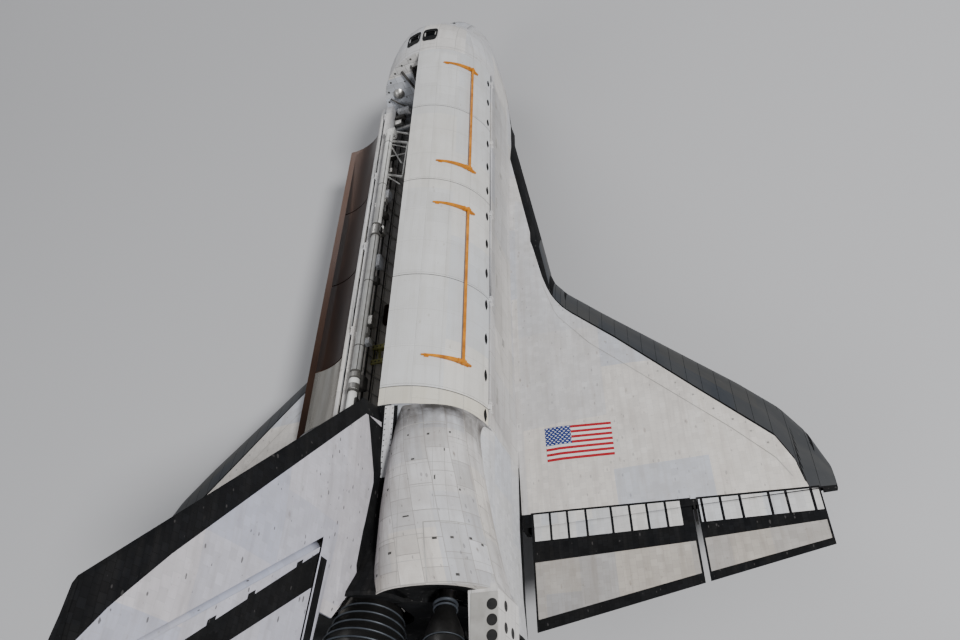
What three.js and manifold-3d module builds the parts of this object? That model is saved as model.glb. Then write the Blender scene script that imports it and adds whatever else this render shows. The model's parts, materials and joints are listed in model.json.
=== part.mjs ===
// A winged spaceplane orbiter parked on its landing gear, its port payload door open and its starboard door closed.
// Airframe axes, in millimetres: +X forward with 0 at the nose tip, +Y to port, +Z up with 0 on the centre line
// of the payload bay. A "station" is a distance aft of the nose tip.
import * as THREE from "three";
import { mergeVertices } from "three/addons/utils/BufferGeometryUtils.js";
import Module from "manifold-3d";

const wasm = await Module();
wasm.setup();

// Stance: the nose gear is shorter than the main gear, so the airframe leans nose down on level ground.
const PARKED_LEAN = THREE.MathUtils.degToRad(3);
const MAIN_CONTACT_Z = -6020;
const MAIN_GEAR_STATION = 23774;
const MAIN_GEAR_Y = 3454;
const NOSE_GEAR_STATION = 3500;

// Fuselage.
const HALF_WIDTH = 2670;
const BELLY_Z = -3380;
const CAP_STATION = 640;
const CABIN_REAR = 8640;
const BAY_FRONT = 8790;
const BAY_REAR = 27200;
const BASE_STATION = 32600;
const BAY_RADIUS = 2320;
const SILL_Z = 460;
const SKIN = 120;

// Payload doors, each a quarter shell hinged at the sill.
const DOOR_OUTER = 2670;
const DOOR_INNER = 2540;
const RADIATOR_INNER = 2480;
const DOOR_FOOT_ANGLE = THREE.MathUtils.degToRad(11);
const DOOR_HINGE_Y = 2700;
const DOOR_HINGE_Z = 470;
const DOOR_TRAVEL = THREE.MathUtils.degToRad(175.5);

// Double-delta wing: a strake swept 81 degrees runs into a wing swept 45 degrees.
const HALF_SPAN = 11896;
const WING_APEX_STATION = 15240;
const TRAILING_APEX_STATION = 32746;
const TRAILING_SLOPE = 0.17734;
const CRANK_Y = 4242;
const STRAKE_SLOPE = Math.tan(THREE.MathUtils.degToRad(81));
const ELEVON_HINGE_STATION = 29235;
const DIHEDRAL = Math.tan(THREE.MathUtils.degToRad(3.5));
const EDGE_DEPTH = 420;

// Fin, a double wedge with a split rudder.
const FIN_ROOT_Z = 2540;
const FIN_TOP_Z = 10559;
const FIN_LEADING_STATION = 26464;
const FIN_TRAILING_STATION = 33284;
const FIN_TRAILING_SLOPE = 0.4932;
const FIN_WEDGE = Math.tan(THREE.MathUtils.degToRad(5));
const RUDDER_BOTTOM_Z = 4830;
const RUDDER_TOP_Z = 9880;
const RUDDER_ROOT_CHORD = 2326;
const RUDDER_HINGE_SLOPE = Math.tan(THREE.MathUtils.degToRad(34.833));

const FIT = 0.3; // left between faces that touch

const paint = (name, color, roughness, metalness = 0) =>
  new THREE.MeshStandardMaterial({ name, color, roughness, metalness });
const whiteBlanket = paint("white_blanket", 0xd9d9d4, 0.85);
const whiteTile = paint("white_tile", 0xcfcfca, 0.75);
const blackTile = paint("black_tile", 0x1c1c1e, 0.7);
const greyCarbon = paint("grey_carbon", 0x55585a, 0.6);
const bareMetal = paint("bare_metal", 0x8d9093, 0.4, 0.9);
const radiatorSilver = paint("radiator_silver", 0xb7b2ac, 0.2, 0.9);
const orangePaint = paint("orange_paint", 0xe8950f, 0.5);
const glass = paint("window_glass", 0x0c0e12, 0.1);
const rubber = paint("tyre_rubber", 0x151515, 0.9);

// A closed three.js geometry as a manifold-3d solid, right side out.
function solid(geometry) {
  const loose = geometry.index ? geometry.toNonIndexed() : geometry.clone();
  for (const name of ["normal", "uv"]) loose.deleteAttribute(name);
  const merged = mergeVertices(loose, 1e-3);
  const corners = merged.index.array;
  const faces = [];
  for (let i = 0; i < corners.length; i += 3) {
    const [a, b, c] = corners.slice(i, i + 3);
    if (a !== b && b !== c && a !== c) faces.push([a, b, c]);
  }
  const made = (list) =>
    new wasm.Manifold(
      new wasm.Mesh({
        numProp: 3,
        vertProperties: new Float32Array(merged.attributes.position.array),
        triVerts: new Uint32Array(list.flat()),
      }),
    );
  const first = made(faces);
  return first.volume() < 0 ? made(faces.map(([a, b, c]) => [a, c, b])) : first;
}

function geometryOf(shape) {
  const { numProp, numVert, vertProperties, triVerts } = shape.getMesh();
  const places = new Float32Array(numVert * 3);
  for (let i = 0; i < numVert; i++) places.set(vertProperties.subarray(i * numProp, i * numProp + 3), i * 3);
  const made = new THREE.BufferGeometry();
  made.setAttribute("position", new THREE.BufferAttribute(places, 3));
  made.setIndex(new THREE.BufferAttribute(triVerts, 1));
  made.computeVertexNormals();
  return made;
}

const joined = (...shapes) => shapes.reduce((all, one) => all.add(one));

// The radius of a faceted bore that just clears a round pin, whatever way either is turned.
const boreRadius = (pin, sides) => (pin + FIT) / Math.cos(Math.PI / sides);
const bore = (a, b, pinA, pinB = pinA, sides = 14) =>
  bar(a, b, boreRadius(pinA, sides), boreRadius(pinB, sides), sides, 0.5);

// A box from its lowest to its highest corner. Stations run aft, so x = -station.
function block([x0, x1], [y0, y1], [z0, z1]) {
  const made = new THREE.BoxGeometry(x1 - x0, y1 - y0, z1 - z0);
  return solid(made.translate((x0 + x1) / 2, (y0 + y1) / 2, (z0 + z1) / 2));
}

// A round bar, or a cone, from point a to point b. Its facets can start part of a step round.
function bar(a, b, radiusA, radiusB = radiusA, sides = 14, start = 0) {
  const [from, to] = [new THREE.Vector3(...a), new THREE.Vector3(...b)];
  const length = from.distanceTo(to);
  const made = new THREE.CylinderGeometry(radiusB, radiusA, length, sides, 1, false, (start * 2 * Math.PI) / sides);
  made.translate(0, length / 2, 0);
  const turn = new THREE.Quaternion().setFromUnitVectors(new THREE.Vector3(0, 1, 0), to.clone().sub(from).normalize());
  return solid(made.applyQuaternion(turn).translate(...a));
}

// A flat outline, extruded. The basis says which way its two axes and its depth point.
function slab(points, depth, basis, origin = [0, 0, 0]) {
  const outline = new THREE.Shape(points.map(([u, v]) => new THREE.Vector2(u, v)));
  const made = new THREE.ExtrudeGeometry(outline, { depth, bevelEnabled: false, curveSegments: 1 });
  return solid(made.applyMatrix4(basis).translate(...origin));
}
const axis = { x: new THREE.Vector3(1, 0, 0), y: new THREE.Vector3(0, 1, 0), z: new THREE.Vector3(0, 0, 1) };
const ALONG_X = new THREE.Matrix4().makeBasis(axis.y, axis.z, axis.x);

// Rings with equal numbers of points, skinned and capped.
function loft(rings) {
  const count = rings[0].length;
  const places = [];
  const quad = (a, b, c, d) => places.push(...a, ...b, ...c, ...a, ...c, ...d);
  for (let r = 0; r + 1 < rings.length; r++) {
    for (let i = 0; i < count; i++) {
      const next = (i + 1) % count;
      quad(rings[r][i], rings[r][next], rings[r + 1][next], rings[r + 1][i]);
    }
  }
  const cap = (ring, forward) => {
    const middle = [0, 1, 2].map((k) => ring.reduce((sum, p) => sum + p[k], 0) / count);
    for (let i = 0; i < count; i++) {
      const [a, b] = [ring[i], ring[(i + 1) % count]];
      places.push(...middle, ...(forward ? a : b), ...(forward ? b : a));
    }
  };
  cap(rings[0], false);
  cap(rings.at(-1), true);
  const made = new THREE.BufferGeometry();
  made.setAttribute("position", new THREE.Float32BufferAttribute(places, 3));
  return solid(made);
}

// A ring with an arched top and a squarer bottom, round its widest line.
function hoop({ station, half, top, bottom, mid, arch, square, centre = 0 }, inset = 0, count = 28) {
  const bend = (value, power) => Math.sign(value) * Math.abs(value) ** (2 / power);
  return Array.from({ length: count }, (_, i) => {
    const turn = ((i + 0.5) / count) * 2 * Math.PI;
    const upper = Math.sin(turn) > 0;
    const power = upper ? arch : square;
    const height = upper ? top - inset - mid : mid - bottom - inset;
    return [-station, centre + (half - inset) * bend(Math.cos(turn), power), mid + height * bend(Math.sin(turn), power)];
  });
}
const tube = (sections, inset = 0, count = 28) => loft(sections.map((s) => hoop(s, inset, count)));
const row = (names) => (values) => Object.fromEntries(names.map((name, i) => [name, values[i]]));

// Nose and cabin. half is the half width, mid the height of the widest line, arch and square the corner powers.
const noseSections = [
  // station, half, top, bottom, mid, arch, square
  [15, 130, -1400, -1660, -1530, 2, 2],
  [150, 470, -1080, -1980, -1540, 2, 2],
  [360, 730, -850, -2230, -1570, 2, 2.1],
  [CAP_STATION, 960, -660, -2430, -1590, 2, 2.2],
  [1100, 1270, -420, -2650, -1590, 2, 2.5],
  [1800, 1600, -120, -2860, -1540, 2, 2.8],
  [2700, 1900, 220, -3040, -1440, 2, 3.1],
  [3600, 2120, 530, -3170, -1300, 2, 3.4],
  [4250, 2250, 760, -3240, -1180, 2, 3.7],
  [5350, 2430, 1980, -3310, -900, 2, 4.2],
  [6000, 2520, 2350, -3340, -650, 2, 4.8],
  [6900, 2610, 2560, -3370, -350, 2, 5.6],
  [7900, 2660, 2650, BELLY_Z, -100, 2, 7],
  [CABIN_REAR, HALF_WIDTH, DOOR_OUTER, BELLY_Z, 0, 2, 10],
].map(row(["station", "half", "top", "bottom", "mid", "arch", "square"]));

const aftSections = [
  [BAY_REAR + FIT, HALF_WIDTH, DOOR_OUTER, BELLY_Z, 0, 2, 10],
  [29300, HALF_WIDTH, 2560, BELLY_Z, 0, 2.1, 10],
  [31400, 2740, 2540, -3360, 0, 2.4, 9],
  [BASE_STATION, 2860, 2540, -3200, 0, 2.8, 8],
].map(row(["station", "half", "top", "bottom", "mid", "arch", "square"]));

const airframe = new THREE.Group();
airframe.rotation.y = PARKED_LEAN;
const orbiter = new THREE.Group();
orbiter.add(airframe);

function place(parent, name, shape, material) {
  const mesh = new THREE.Mesh(geometryOf(shape), material);
  mesh.name = name;
  parent.add(mesh);
  return mesh;
}

// A moving body: a group turned about a pivot, whose meshes are drawn in its parent's axes as they lie unturned.
function hinged(parent, name, [x, y, z], turn = new THREE.Quaternion()) {
  const turning = new THREE.Group();
  turning.name = name;
  turning.position.set(x, y, z);
  turning.quaternion.copy(turn);
  const inside = new THREE.Group();
  inside.position.set(-x, -y, -z);
  turning.add(inside);
  parent.add(turning);
  return inside;
}

const mirrored = (shape) => shape.mirror([0, 1, 0]);
const SIDES = [
  { side: "port", sign: 1 },
  { side: "starboard", sign: -1 },
];
const onSide = (shape, sign) => (sign > 0 ? shape : mirrored(shape));

// Window openings, each a box turned to face out through the skin: centre, width, height, yaw and pitch.
const FRONT_PANES = [
  // station, y, z, width, height, yaw, pitch
  [4830, 400, 1360, 640, 900, 5, 48],
  [4960, 1130, 1180, 560, 860, 32, 44],
  [5330, 1740, 920, 600, 700, 62, 30],
].map(row(["station", "y", "z", "width", "height", "yaw", "pitch"]));
const ROOF_PANE = { station: 7350, y: 400, z: 2580, width: 440, height: 520, yaw: 0, pitch: 90 };
const PANE_DEPTH = 520;

function paneCutter({ station, y, z, width, height, yaw, pitch }, sign) {
  const made = new THREE.BoxGeometry(PANE_DEPTH, width, height);
  const turn = new THREE.Euler(0, -THREE.MathUtils.degToRad(pitch), sign * THREE.MathUtils.degToRad(yaw), "ZYX");
  made.applyQuaternion(new THREE.Quaternion().setFromEuler(turn));
  return solid(made.translate(-station, sign * y, z));
}

const HATCH = { station: 6350, z: -620, radius: 508, gap: 12, hingeY: 2606, hingeZ: -1172 };
const NOSE_WELL = { front: 1500, rear: 3760, half: 500, roof: -2150 };
const MODULE = { front: 1330, rear: 3500, floor: -600 };

// Nose, cabin and what is let into them.
const noseLoft = tube(noseSections);
const capCut = block([-CAP_STATION, 50], [-3000, 3000], [-4000, 4000]);
place(airframe, "nose_cap", noseLoft.intersect(capCut), greyCarbon);

const moduleRegion = (grow) =>
  block([-MODULE.rear - grow, -MODULE.front + grow], [-1150 - grow, 1150 + grow], [MODULE.floor - grow, 1000 + grow]);
place(airframe, "forward_thruster_module", noseLoft.intersect(moduleRegion(0)), whiteTile);

const cabinSections = noseSections.filter((s) => s.station > 4300);
const cabinNose = { station: 4450, half: 2280, top: 975, bottom: -3250, mid: -1130, arch: 2, square: 3.8 };
const cabinVoid = tube([cabinNose, ...cabinSections], SKIN, 20).add(
  loft([hoop(cabinSections.at(-1), SKIN, 20), hoop({ ...cabinSections.at(-1), station: CABIN_REAR + 50 }, SKIN, 20)]),
);
const hatchBarrel = (radius) =>
  bar([-HATCH.station, 2150, HATCH.z], [-HATCH.station, 3000, HATCH.z], radius, radius, 24);
let cabin = noseLoft
  .subtract(block([-CAP_STATION - FIT, 50], [-3000, 3000], [-4000, 4000]))
  .subtract(moduleRegion(FIT))
  .subtract(cabinVoid)
  .subtract(block([-NOSE_WELL.rear, -NOSE_WELL.front], [-NOSE_WELL.half, NOSE_WELL.half], [-4000, NOSE_WELL.roof]))
  .subtract(hatchBarrel(HATCH.radius + HATCH.gap));
for (const { sign } of SIDES) {
  for (const pane of [...FRONT_PANES, ROOF_PANE]) cabin = cabin.subtract(paneCutter(pane, sign));
}
const FORWARD_PAD = { station: 3880, radius: 110 };
const forwardPad = bar([-FORWARD_PAD.station, 0, -3000], [-FORWARD_PAD.station, 0, -3290], FORWARD_PAD.radius);
const hatchLugs = [-1, 1].map((end) => {
  const near = -HATCH.station + end * (140 + FIT);
  const span = [near, near + end * 60].sort((a, b) => a - b);
  return block(span, [HATCH.hingeY - 130, HATCH.hingeY + 34], [HATCH.hingeZ - 34, HATCH.hingeZ + 34]);
});
place(airframe, "forward_fuselage", joined(cabin, forwardPad, ...hatchLugs), whiteTile);

// The glazing lies against the inside of the skin, behind the openings.
const liner = tube(cabinSections, SKIN + FIT, 20).subtract(tube(cabinSections, SKIN + 40, 20));
const ahead = block([-5940, -4500], [-2300, 2300], [300, 2300]);
place(airframe, "windshield_glass", liner.intersect(ahead), glass);
place(airframe, "roof_window_glass", liner.intersect(block([-7800, -6950], [-800, 800], [2000, 3000])), glass);

// The hatch drops outward on a knuckle held between two lugs below its opening.
const hatchShell = noseLoft.subtract(cabinVoid).intersect(hatchBarrel(HATCH.radius));
const hatchBody = hinged(airframe, "pivot_crew_hatch", [-HATCH.station, HATCH.hingeY, HATCH.hingeZ]);
const hatchKnuckle = joined(
  bar([-HATCH.station - 140, HATCH.hingeY, HATCH.hingeZ], [-HATCH.station + 140, HATCH.hingeY, HATCH.hingeZ], 28),
  block([-HATCH.station - 110, -HATCH.station + 110], [HATCH.hingeY - 22, HATCH.hingeY + 22], [HATCH.hingeZ, HATCH.hingeZ + 130]),
  block([-HATCH.station - 110, -HATCH.station + 110], [HATCH.hingeY - 160, HATCH.hingeY + 22], [HATCH.hingeZ + 70, HATCH.hingeZ + 130]),
);
place(hatchBody, "crew_hatch", hatchShell.add(hatchKnuckle), whiteTile);

// The bulkhead that closes the front of the bay, with two windows and the airlock's doorway.
const bulkheadRing = { ...noseSections.at(-1), top: DOOR_OUTER - 10 };
const bulkheadPlate = tube([
  { ...bulkheadRing, station: CABIN_REAR + FIT },
  { ...bulkheadRing, station: BAY_FRONT - 10 },
]);
const bulkheadWindow = (y) => block([-BAY_FRONT - 50, -CABIN_REAR + 50], [y - 190, y + 190], [1560, 1980]);
const AIRLOCK = { z: -250, doorway: 500, radius: 820, station: 10150, top: 650 };
const doorway = (z) => bar([-BAY_FRONT - 50, 0, z], [-CABIN_REAR + 50, 0, z], AIRLOCK.doorway, AIRLOCK.doorway, 16);
const bulkhead = bulkheadPlate
  .subtract(bulkheadWindow(420))
  .subtract(bulkheadWindow(-420))
  .subtract(doorway(AIRLOCK.z));
place(airframe, "cabin_bulkhead", bulkhead, whiteBlanket);

// Airlock: an upright drum with a docking ring on top, joined to the doorway by a short tunnel.
const drum = bar([-AIRLOCK.station, 0, -2600], [-AIRLOCK.station, 0, AIRLOCK.top], AIRLOCK.radius, AIRLOCK.radius, 20);
const tunnelOut = bar(
  [-BAY_FRONT + 10 - FIT, 0, AIRLOCK.z],
  [-AIRLOCK.station, 0, AIRLOCK.z],
  AIRLOCK.doorway + 90,
  AIRLOCK.doorway + 90,
  16,
);
const tunnelBore = bar([-BAY_FRONT + 100, 0, AIRLOCK.z], [-AIRLOCK.station, 0, AIRLOCK.z], AIRLOCK.doorway, AIRLOCK.doorway, 16);
const drumBore = bar(
  [-AIRLOCK.station, 0, -1500],
  [-AIRLOCK.station, 0, AIRLOCK.top + 600],
  AIRLOCK.radius - 200,
  AIRLOCK.radius - 200,
  20,
);
const dockingRing = bar([-AIRLOCK.station, 0, AIRLOCK.top - 10], [-AIRLOCK.station, 0, AIRLOCK.top + 260], 760, 700, 20);
let airlock = joined(drum, tunnelOut, dockingRing);
for (const { sign } of SIDES) {
  airlock = airlock.add(
    block([-AIRLOCK.station - 90, -AIRLOCK.station + 90], sign > 0 ? [700, 2500] : [-2500, -700], [-100, 80]),
  );
}

// Middle fuselage: a trough whose sills carry the doors.
const CORNER = 260;
const bayArc = Array.from({ length: 19 }, (_, i) => {
  const turn = -Math.PI * (i / 18);
  return [BAY_RADIUS * Math.cos(turn), BAY_RADIUS * Math.sin(turn)];
});
const inBay = slab(
  [
    [BAY_RADIUS - 2 * FIT, 2000],
    ...bayArc.map(([y, z]) => [y * (1 - FIT / BAY_RADIUS), z * (1 - FIT / BAY_RADIUS)]),
    [-BAY_RADIUS + 2 * FIT, 2000],
  ].reverse(),
  BAY_REAR - BAY_FRONT,
  ALONG_X,
  [-BAY_REAR, 0, 0],
);
place(airframe, "airlock", airlock.subtract(tunnelBore).subtract(drumBore).intersect(inBay), whiteBlanket);
const troughOutline = [
  [-HALF_WIDTH, SILL_Z],
  [-HALF_WIDTH, BELLY_Z + CORNER],
  [-HALF_WIDTH + CORNER * 0.29, BELLY_Z + CORNER * 0.29],
  [-HALF_WIDTH + CORNER, BELLY_Z],
  [HALF_WIDTH - CORNER, BELLY_Z],
  [HALF_WIDTH - CORNER * 0.29, BELLY_Z + CORNER * 0.29],
  [HALF_WIDTH, BELLY_Z + CORNER],
  [HALF_WIDTH, SILL_Z],
  [BAY_RADIUS, SILL_Z],
  ...bayArc,
  [-BAY_RADIUS, SILL_Z],
];
const trough = slab(troughOutline, BAY_REAR - BAY_FRONT + 10 - FIT, ALONG_X, [-BAY_REAR, 0, 0]);

// Payload doors. The port one lies open, turned out over the wing.
const arcBand = (outer, inner, from, to, steps) => {
  const turnAt = (i) => from + ((to - from) * i) / steps;
  const edge = (radius) =>
    Array.from({ length: steps + 1 }, (_, i) => [radius * Math.cos(turnAt(i)), radius * Math.sin(turnAt(i))]);
  return [...edge(outer), ...edge(inner).reverse()];
};
const CREST_GAP = 0.002;
const DOOR_STEPS = 10;
const doorTurn = (i) => DOOR_FOOT_ANGLE + ((Math.PI / 2 - CREST_GAP - DOOR_FOOT_ANGLE) * i) / DOOR_STEPS;
const doorBand = (outer, inner, from, to) => arcBand(outer, inner, doorTurn(from), doorTurn(to), to - from);
const doorShell = slab(doorBand(DOOR_OUTER, DOOR_INNER, 0, DOOR_STEPS), BAY_REAR - BAY_FRONT - 20, ALONG_X, [
  -BAY_REAR + 10,
  0,
  0,
]);
// Four radiator panels a door are one piece, parted by shallow grooves.
const RADIATOR = { front: BAY_FRONT + 350, rear: BAY_REAR - 350, panels: 4, groove: 60 };
const radiatorLength = RADIATOR.rear - RADIATOR.front;
let radiator = slab(doorBand(DOOR_INNER - FIT, RADIATOR_INNER, 1, DOOR_STEPS - 1), radiatorLength, ALONG_X, [
  -RADIATOR.rear,
  0,
  0,
]);
for (let i = 1; i < RADIATOR.panels; i++) {
  const middle = RADIATOR.front + (radiatorLength * i) / RADIATOR.panels;
  const groove = doorBand(RADIATOR_INNER + 30, RADIATOR_INNER - 30, 0, DOOR_STEPS);
  radiator = radiator.subtract(slab(groove, RADIATOR.groove, ALONG_X, [-middle - RADIATOR.groove / 2, 0, 0]));
}
// Each door hangs on knuckles that turn between lugs on the outside of the sill.
const DOOR_HINGES = Array.from({ length: 5 }, (_, i) => BAY_FRONT + 700 + ((BAY_REAR - BAY_FRONT - 1400) * i) / 4);
const KNUCKLE = { radius: 27, half: 110, lug: 55 };
const doorKnuckles = DOOR_HINGES.map((station) =>
  joined(
    bar([-station - KNUCKLE.half, DOOR_HINGE_Y, DOOR_HINGE_Z], [-station + KNUCKLE.half, DOOR_HINGE_Y, DOOR_HINGE_Z], KNUCKLE.radius, KNUCKLE.radius, 8),
    block([-station - 80, -station + 80], [2560, DOOR_HINGE_Y], [DOOR_HINGE_Z + 2, DOOR_HINGE_Z + 50]),
  ),
);
const hingedDoor = joined(doorShell, ...doorKnuckles);
const sillLugs = DOOR_HINGES.flatMap((station) =>
  [-1, 1].flatMap((end) => {
    const near = -station + end * (KNUCKLE.half + FIT);
    const span = [near, near + end * KNUCKLE.lug].sort((a, b) => a - b);
    const lug = block(span, [HALF_WIDTH - 40, DOOR_HINGE_Y + 32], [DOOR_HINGE_Z - 120, DOOR_HINGE_Z + 30]);
    return [lug, mirrored(lug)];
  }),
);
place(airframe, "mid_fuselage", joined(trough, ...sillLugs), whiteBlanket);
for (const { side, sign } of SIDES) {
  const openTurn = new THREE.Quaternion().setFromAxisAngle(axis.x, sign > 0 ? -DOOR_TRAVEL : 0);
  const door = hinged(airframe, `pivot_${side}_bay_door`, [0, sign * DOOR_HINGE_Y, DOOR_HINGE_Z], openTurn);
  place(door, `${side}_bay_door`, onSide(hingedDoor, sign), whiteBlanket);
  place(door, `${side}_radiator`, onSide(radiator, sign), radiatorSilver);
  if (sign < 0) addStrongbacks(door);
}

// Orange lifting frames strapped to the closed door: a long rail with a curved arm at each end.
function addStrongbacks(door) {
  const RAIL_ANGLE = THREE.MathUtils.degToRad(37);
  const frames = [
    // name, front, rear
    ["forward_lifting_frame", 9900, 16500],
    ["rear_lifting_frame", 18800, 25500],
  ].map(row(["name", "front", "rear"]));
  for (const { name, front, rear } of frames) {
    const low = DOOR_OUTER + FIT;
    const armAt = (station) =>
      slab(
        arcBand(low + 150, low + 8, THREE.MathUtils.degToRad(30), THREE.MathUtils.degToRad(65), 8),
        130,
        ALONG_X,
        [-station - 65, 0, 0],
      );
    const feet = [front, rear].flatMap((station) =>
      [2, 6].map((step) => slab(doorBand(low + 60, low, step, step + 1), 130, ALONG_X, [-station - 65, 0, 0])),
    );
    const railCentre = low + 90;
    const [ry, rz] = [railCentre * Math.cos(RAIL_ANGLE), railCentre * Math.sin(RAIL_ANGLE)];
    const rail = bar([-front, ry, rz], [-rear, ry, rz], 62, 62, 12);
    place(door, name, mirrored(joined(armAt(front), armAt(rear), rail, ...feet)), orangePaint);
  }
}

// Manipulator arm, stowed along the port sill on pedestals.
const ARM = { shoulder: 11265, elbow: 17640, wrist: 24700, tip: 26450, y: 2090, z: 760, radius: 165 };
const armBody = hinged(airframe, "pivot_arm_shoulder", [-ARM.shoulder, ARM.y, ARM.z]);
const armPoint = (station) => [-station, ARM.y, ARM.z];
const upperArm = joined(
  bar([-ARM.shoulder, ARM.y - ARM.radius, ARM.z], [-ARM.shoulder, ARM.y + ARM.radius, ARM.z], ARM.radius),
  bar(armPoint(ARM.shoulder), armPoint(ARM.elbow), ARM.radius),
  bar(armPoint(ARM.elbow - 250), armPoint(ARM.elbow + 250), ARM.radius + 25),
);
place(armBody, "arm_upper_boom", upperArm, whiteBlanket);
const lowerArm = joined(
  bar(armPoint(ARM.elbow + 250 + FIT), armPoint(ARM.wrist), ARM.radius),
  bar(armPoint(ARM.wrist - 250), armPoint(ARM.wrist + 400), ARM.radius + 20),
);
place(armBody, "arm_lower_boom", lowerArm, whiteBlanket);
const hand = bar(armPoint(ARM.wrist + 400 + FIT), armPoint(ARM.tip), ARM.radius - 10, ARM.radius + 5);
place(armBody, "arm_end_effector", hand, whiteBlanket);

// The shoulder turns between two cheeks. Further back the arm lies in two cups.
const shoulderCheeks = [-1, 1].map((end) => {
  const near = ARM.y + end * (ARM.radius + FIT);
  const span = [near, near + end * 50].sort((p, q) => p - q);
  return block([-ARM.shoulder - 190, -ARM.shoulder + 190], span, [SILL_Z + FIT, ARM.z + 60]);
});
const shoulderBase = block(
  [-ARM.shoulder - 190, -ARM.shoulder + 190],
  [ARM.y - ARM.radius - 50, 2440],
  [SILL_Z + FIT, ARM.z - ARM.radius - 60],
);
place(airframe, "arm_shoulder_pedestal", joined(...shoulderCheeks, shoulderBase), bareMetal);
const CRADLES = [
  // name, station
  ["arm_forward_cradle", 15800],
  ["arm_rear_cradle", 22600],
].map(row(["name", "station"]));
for (const { name, station } of CRADLES) {
  const span = [-station - 130, -station + 130];
  const cup = block(span, [ARM.y - 220, ARM.y + 220], [ARM.z - 240, ARM.z - 30]);
  const stand = block(span, [ARM.y + 110, 2440], [SILL_Z + FIT, ARM.z - 180]);
  const seat = bore([span[0] - 20, ARM.y, ARM.z], [span[1] + 20, ARM.y, ARM.z], ARM.radius);
  place(airframe, name, cup.add(stand).subtract(seat), bareMetal);
}

// Aft fuselage: a shell closed in front by the bulkhead of the bay and open at the base.
const aftVoidSections = [{ ...aftSections[0], station: BAY_REAR + 200 }, ...aftSections.slice(1)];
const aftVoid = tube([...aftVoidSections, { ...aftSections.at(-1), station: BASE_STATION + 50 }], 170, 20);
// Between the pods the skin rises over the upper engine.
const humpSections = [
  // station, half, top
  [31000, 1270, 2420],
  [31900, 1300, 2900],
  [BASE_STATION, 1330, 3330],
].map(([station, half, top]) => ({ station, half, top, bottom: 0, mid: 900, arch: 3, square: 3 }));
const hump = tube(humpSections, 0, 20);
const humpVoid = tube([...humpSections, { ...humpSections.at(-1), station: BASE_STATION + 50 }], 130, 20);

const ENGINES = [
  // name, station, y, z, pitch, yaw
  ["upper", 30709, 0, 1092, 16, 0],
  ["port", 31297, 1346, -1457, 10, 3.5],
  ["starboard", 31297, -1346, -1457, 10, -3.5],
].map(row(["name", "station", "y", "z", "pitch", "yaw"]));
const BASE_THICK = 110;
const GIMBAL_PIN = 150;
const GIMBAL_HALF = 330;

// The seat for an engine's gimbal pin, turned as the engine is.
function gimbalSeat({ station, y, z, yaw }) {
  const turn = -THREE.MathUtils.degToRad(yaw);
  const [dx, dy] = [-Math.sin(turn), Math.cos(turn)].map((v) => v * (GIMBAL_HALF + 60));
  return bore([-station - dx, y - dy, z], [-station + dx, y + dy, z], GIMBAL_PIN, GIMBAL_PIN, 36);
}
const aftSkin = joined(tube(aftSections), hump).subtract(aftVoid).subtract(humpVoid);
// A frame inside carries the three gimbals.
const thrustFrame = ENGINES.map((engine) => {
  const { station, y, z } = engine;
  const cone = bar([-BAY_REAR - 100, y, z], [-station + 90, y, z], 420, 190, 12);
  return cone.subtract(gimbalSeat(engine));
});
const AFT_PADS = { station: 27457, y: 2451, radius: 140 };
const aftPads = SIDES.map(({ sign }) =>
  bar(
    [-AFT_PADS.station, sign * AFT_PADS.y, BELLY_Z + 520],
    [-AFT_PADS.station, sign * AFT_PADS.y, BELLY_Z - 30],
    AFT_PADS.radius,
  ),
);

const BELL_PROFILE = [
  // distance from the gimbal, radius
  [1150, 400],
  [1700, 640],
  [2350, 865],
  [3150, 1060],
  [3990, 1194],
].map(row(["distance", "radius"]));
const BELL_WALL = 55;
function mainEngine() {
  const outline = [
    [0, 90],
    [210, 90],
    [330, 700],
    ...BELL_PROFILE.map(({ distance, radius }) => [radius, distance]),
    ...BELL_PROFILE.slice(1)
      .reverse()
      .map(({ distance, radius }) => [radius - BELL_WALL, distance]),
    [0, 1450],
  ];
  const lathe = new THREE.LatheGeometry(
    outline.map(([r, d]) => new THREE.Vector2(r, d)),
    20,
  );
  const pin = bar([0, -GIMBAL_HALF, 0], [0, GIMBAL_HALF, 0], GIMBAL_PIN, GIMBAL_PIN, 36);
  return solid(lathe.rotateZ(Math.PI / 2)).add(pin);
}
const aimedQuaternion = (pitch, yaw) =>
  new THREE.Quaternion().setFromEuler(
    new THREE.Euler(0, THREE.MathUtils.degToRad(pitch), -THREE.MathUtils.degToRad(yaw), "ZYX"),
  );
for (const { name, station, y, z, pitch, yaw } of ENGINES) {
  const body = new THREE.Group();
  body.name = `pivot_${name}_main_engine`;
  body.position.set(-station, y, z);
  const aimed = new THREE.Group();
  aimed.quaternion.copy(aimedQuaternion(pitch, yaw));
  body.userData.axis = axis.y.clone().applyQuaternion(aimed.quaternion).toArray();
  body.add(aimed);
  airframe.add(body);
  place(aimed, `${name}_main_engine`, mainEngine(), bareMetal);
}

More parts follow.
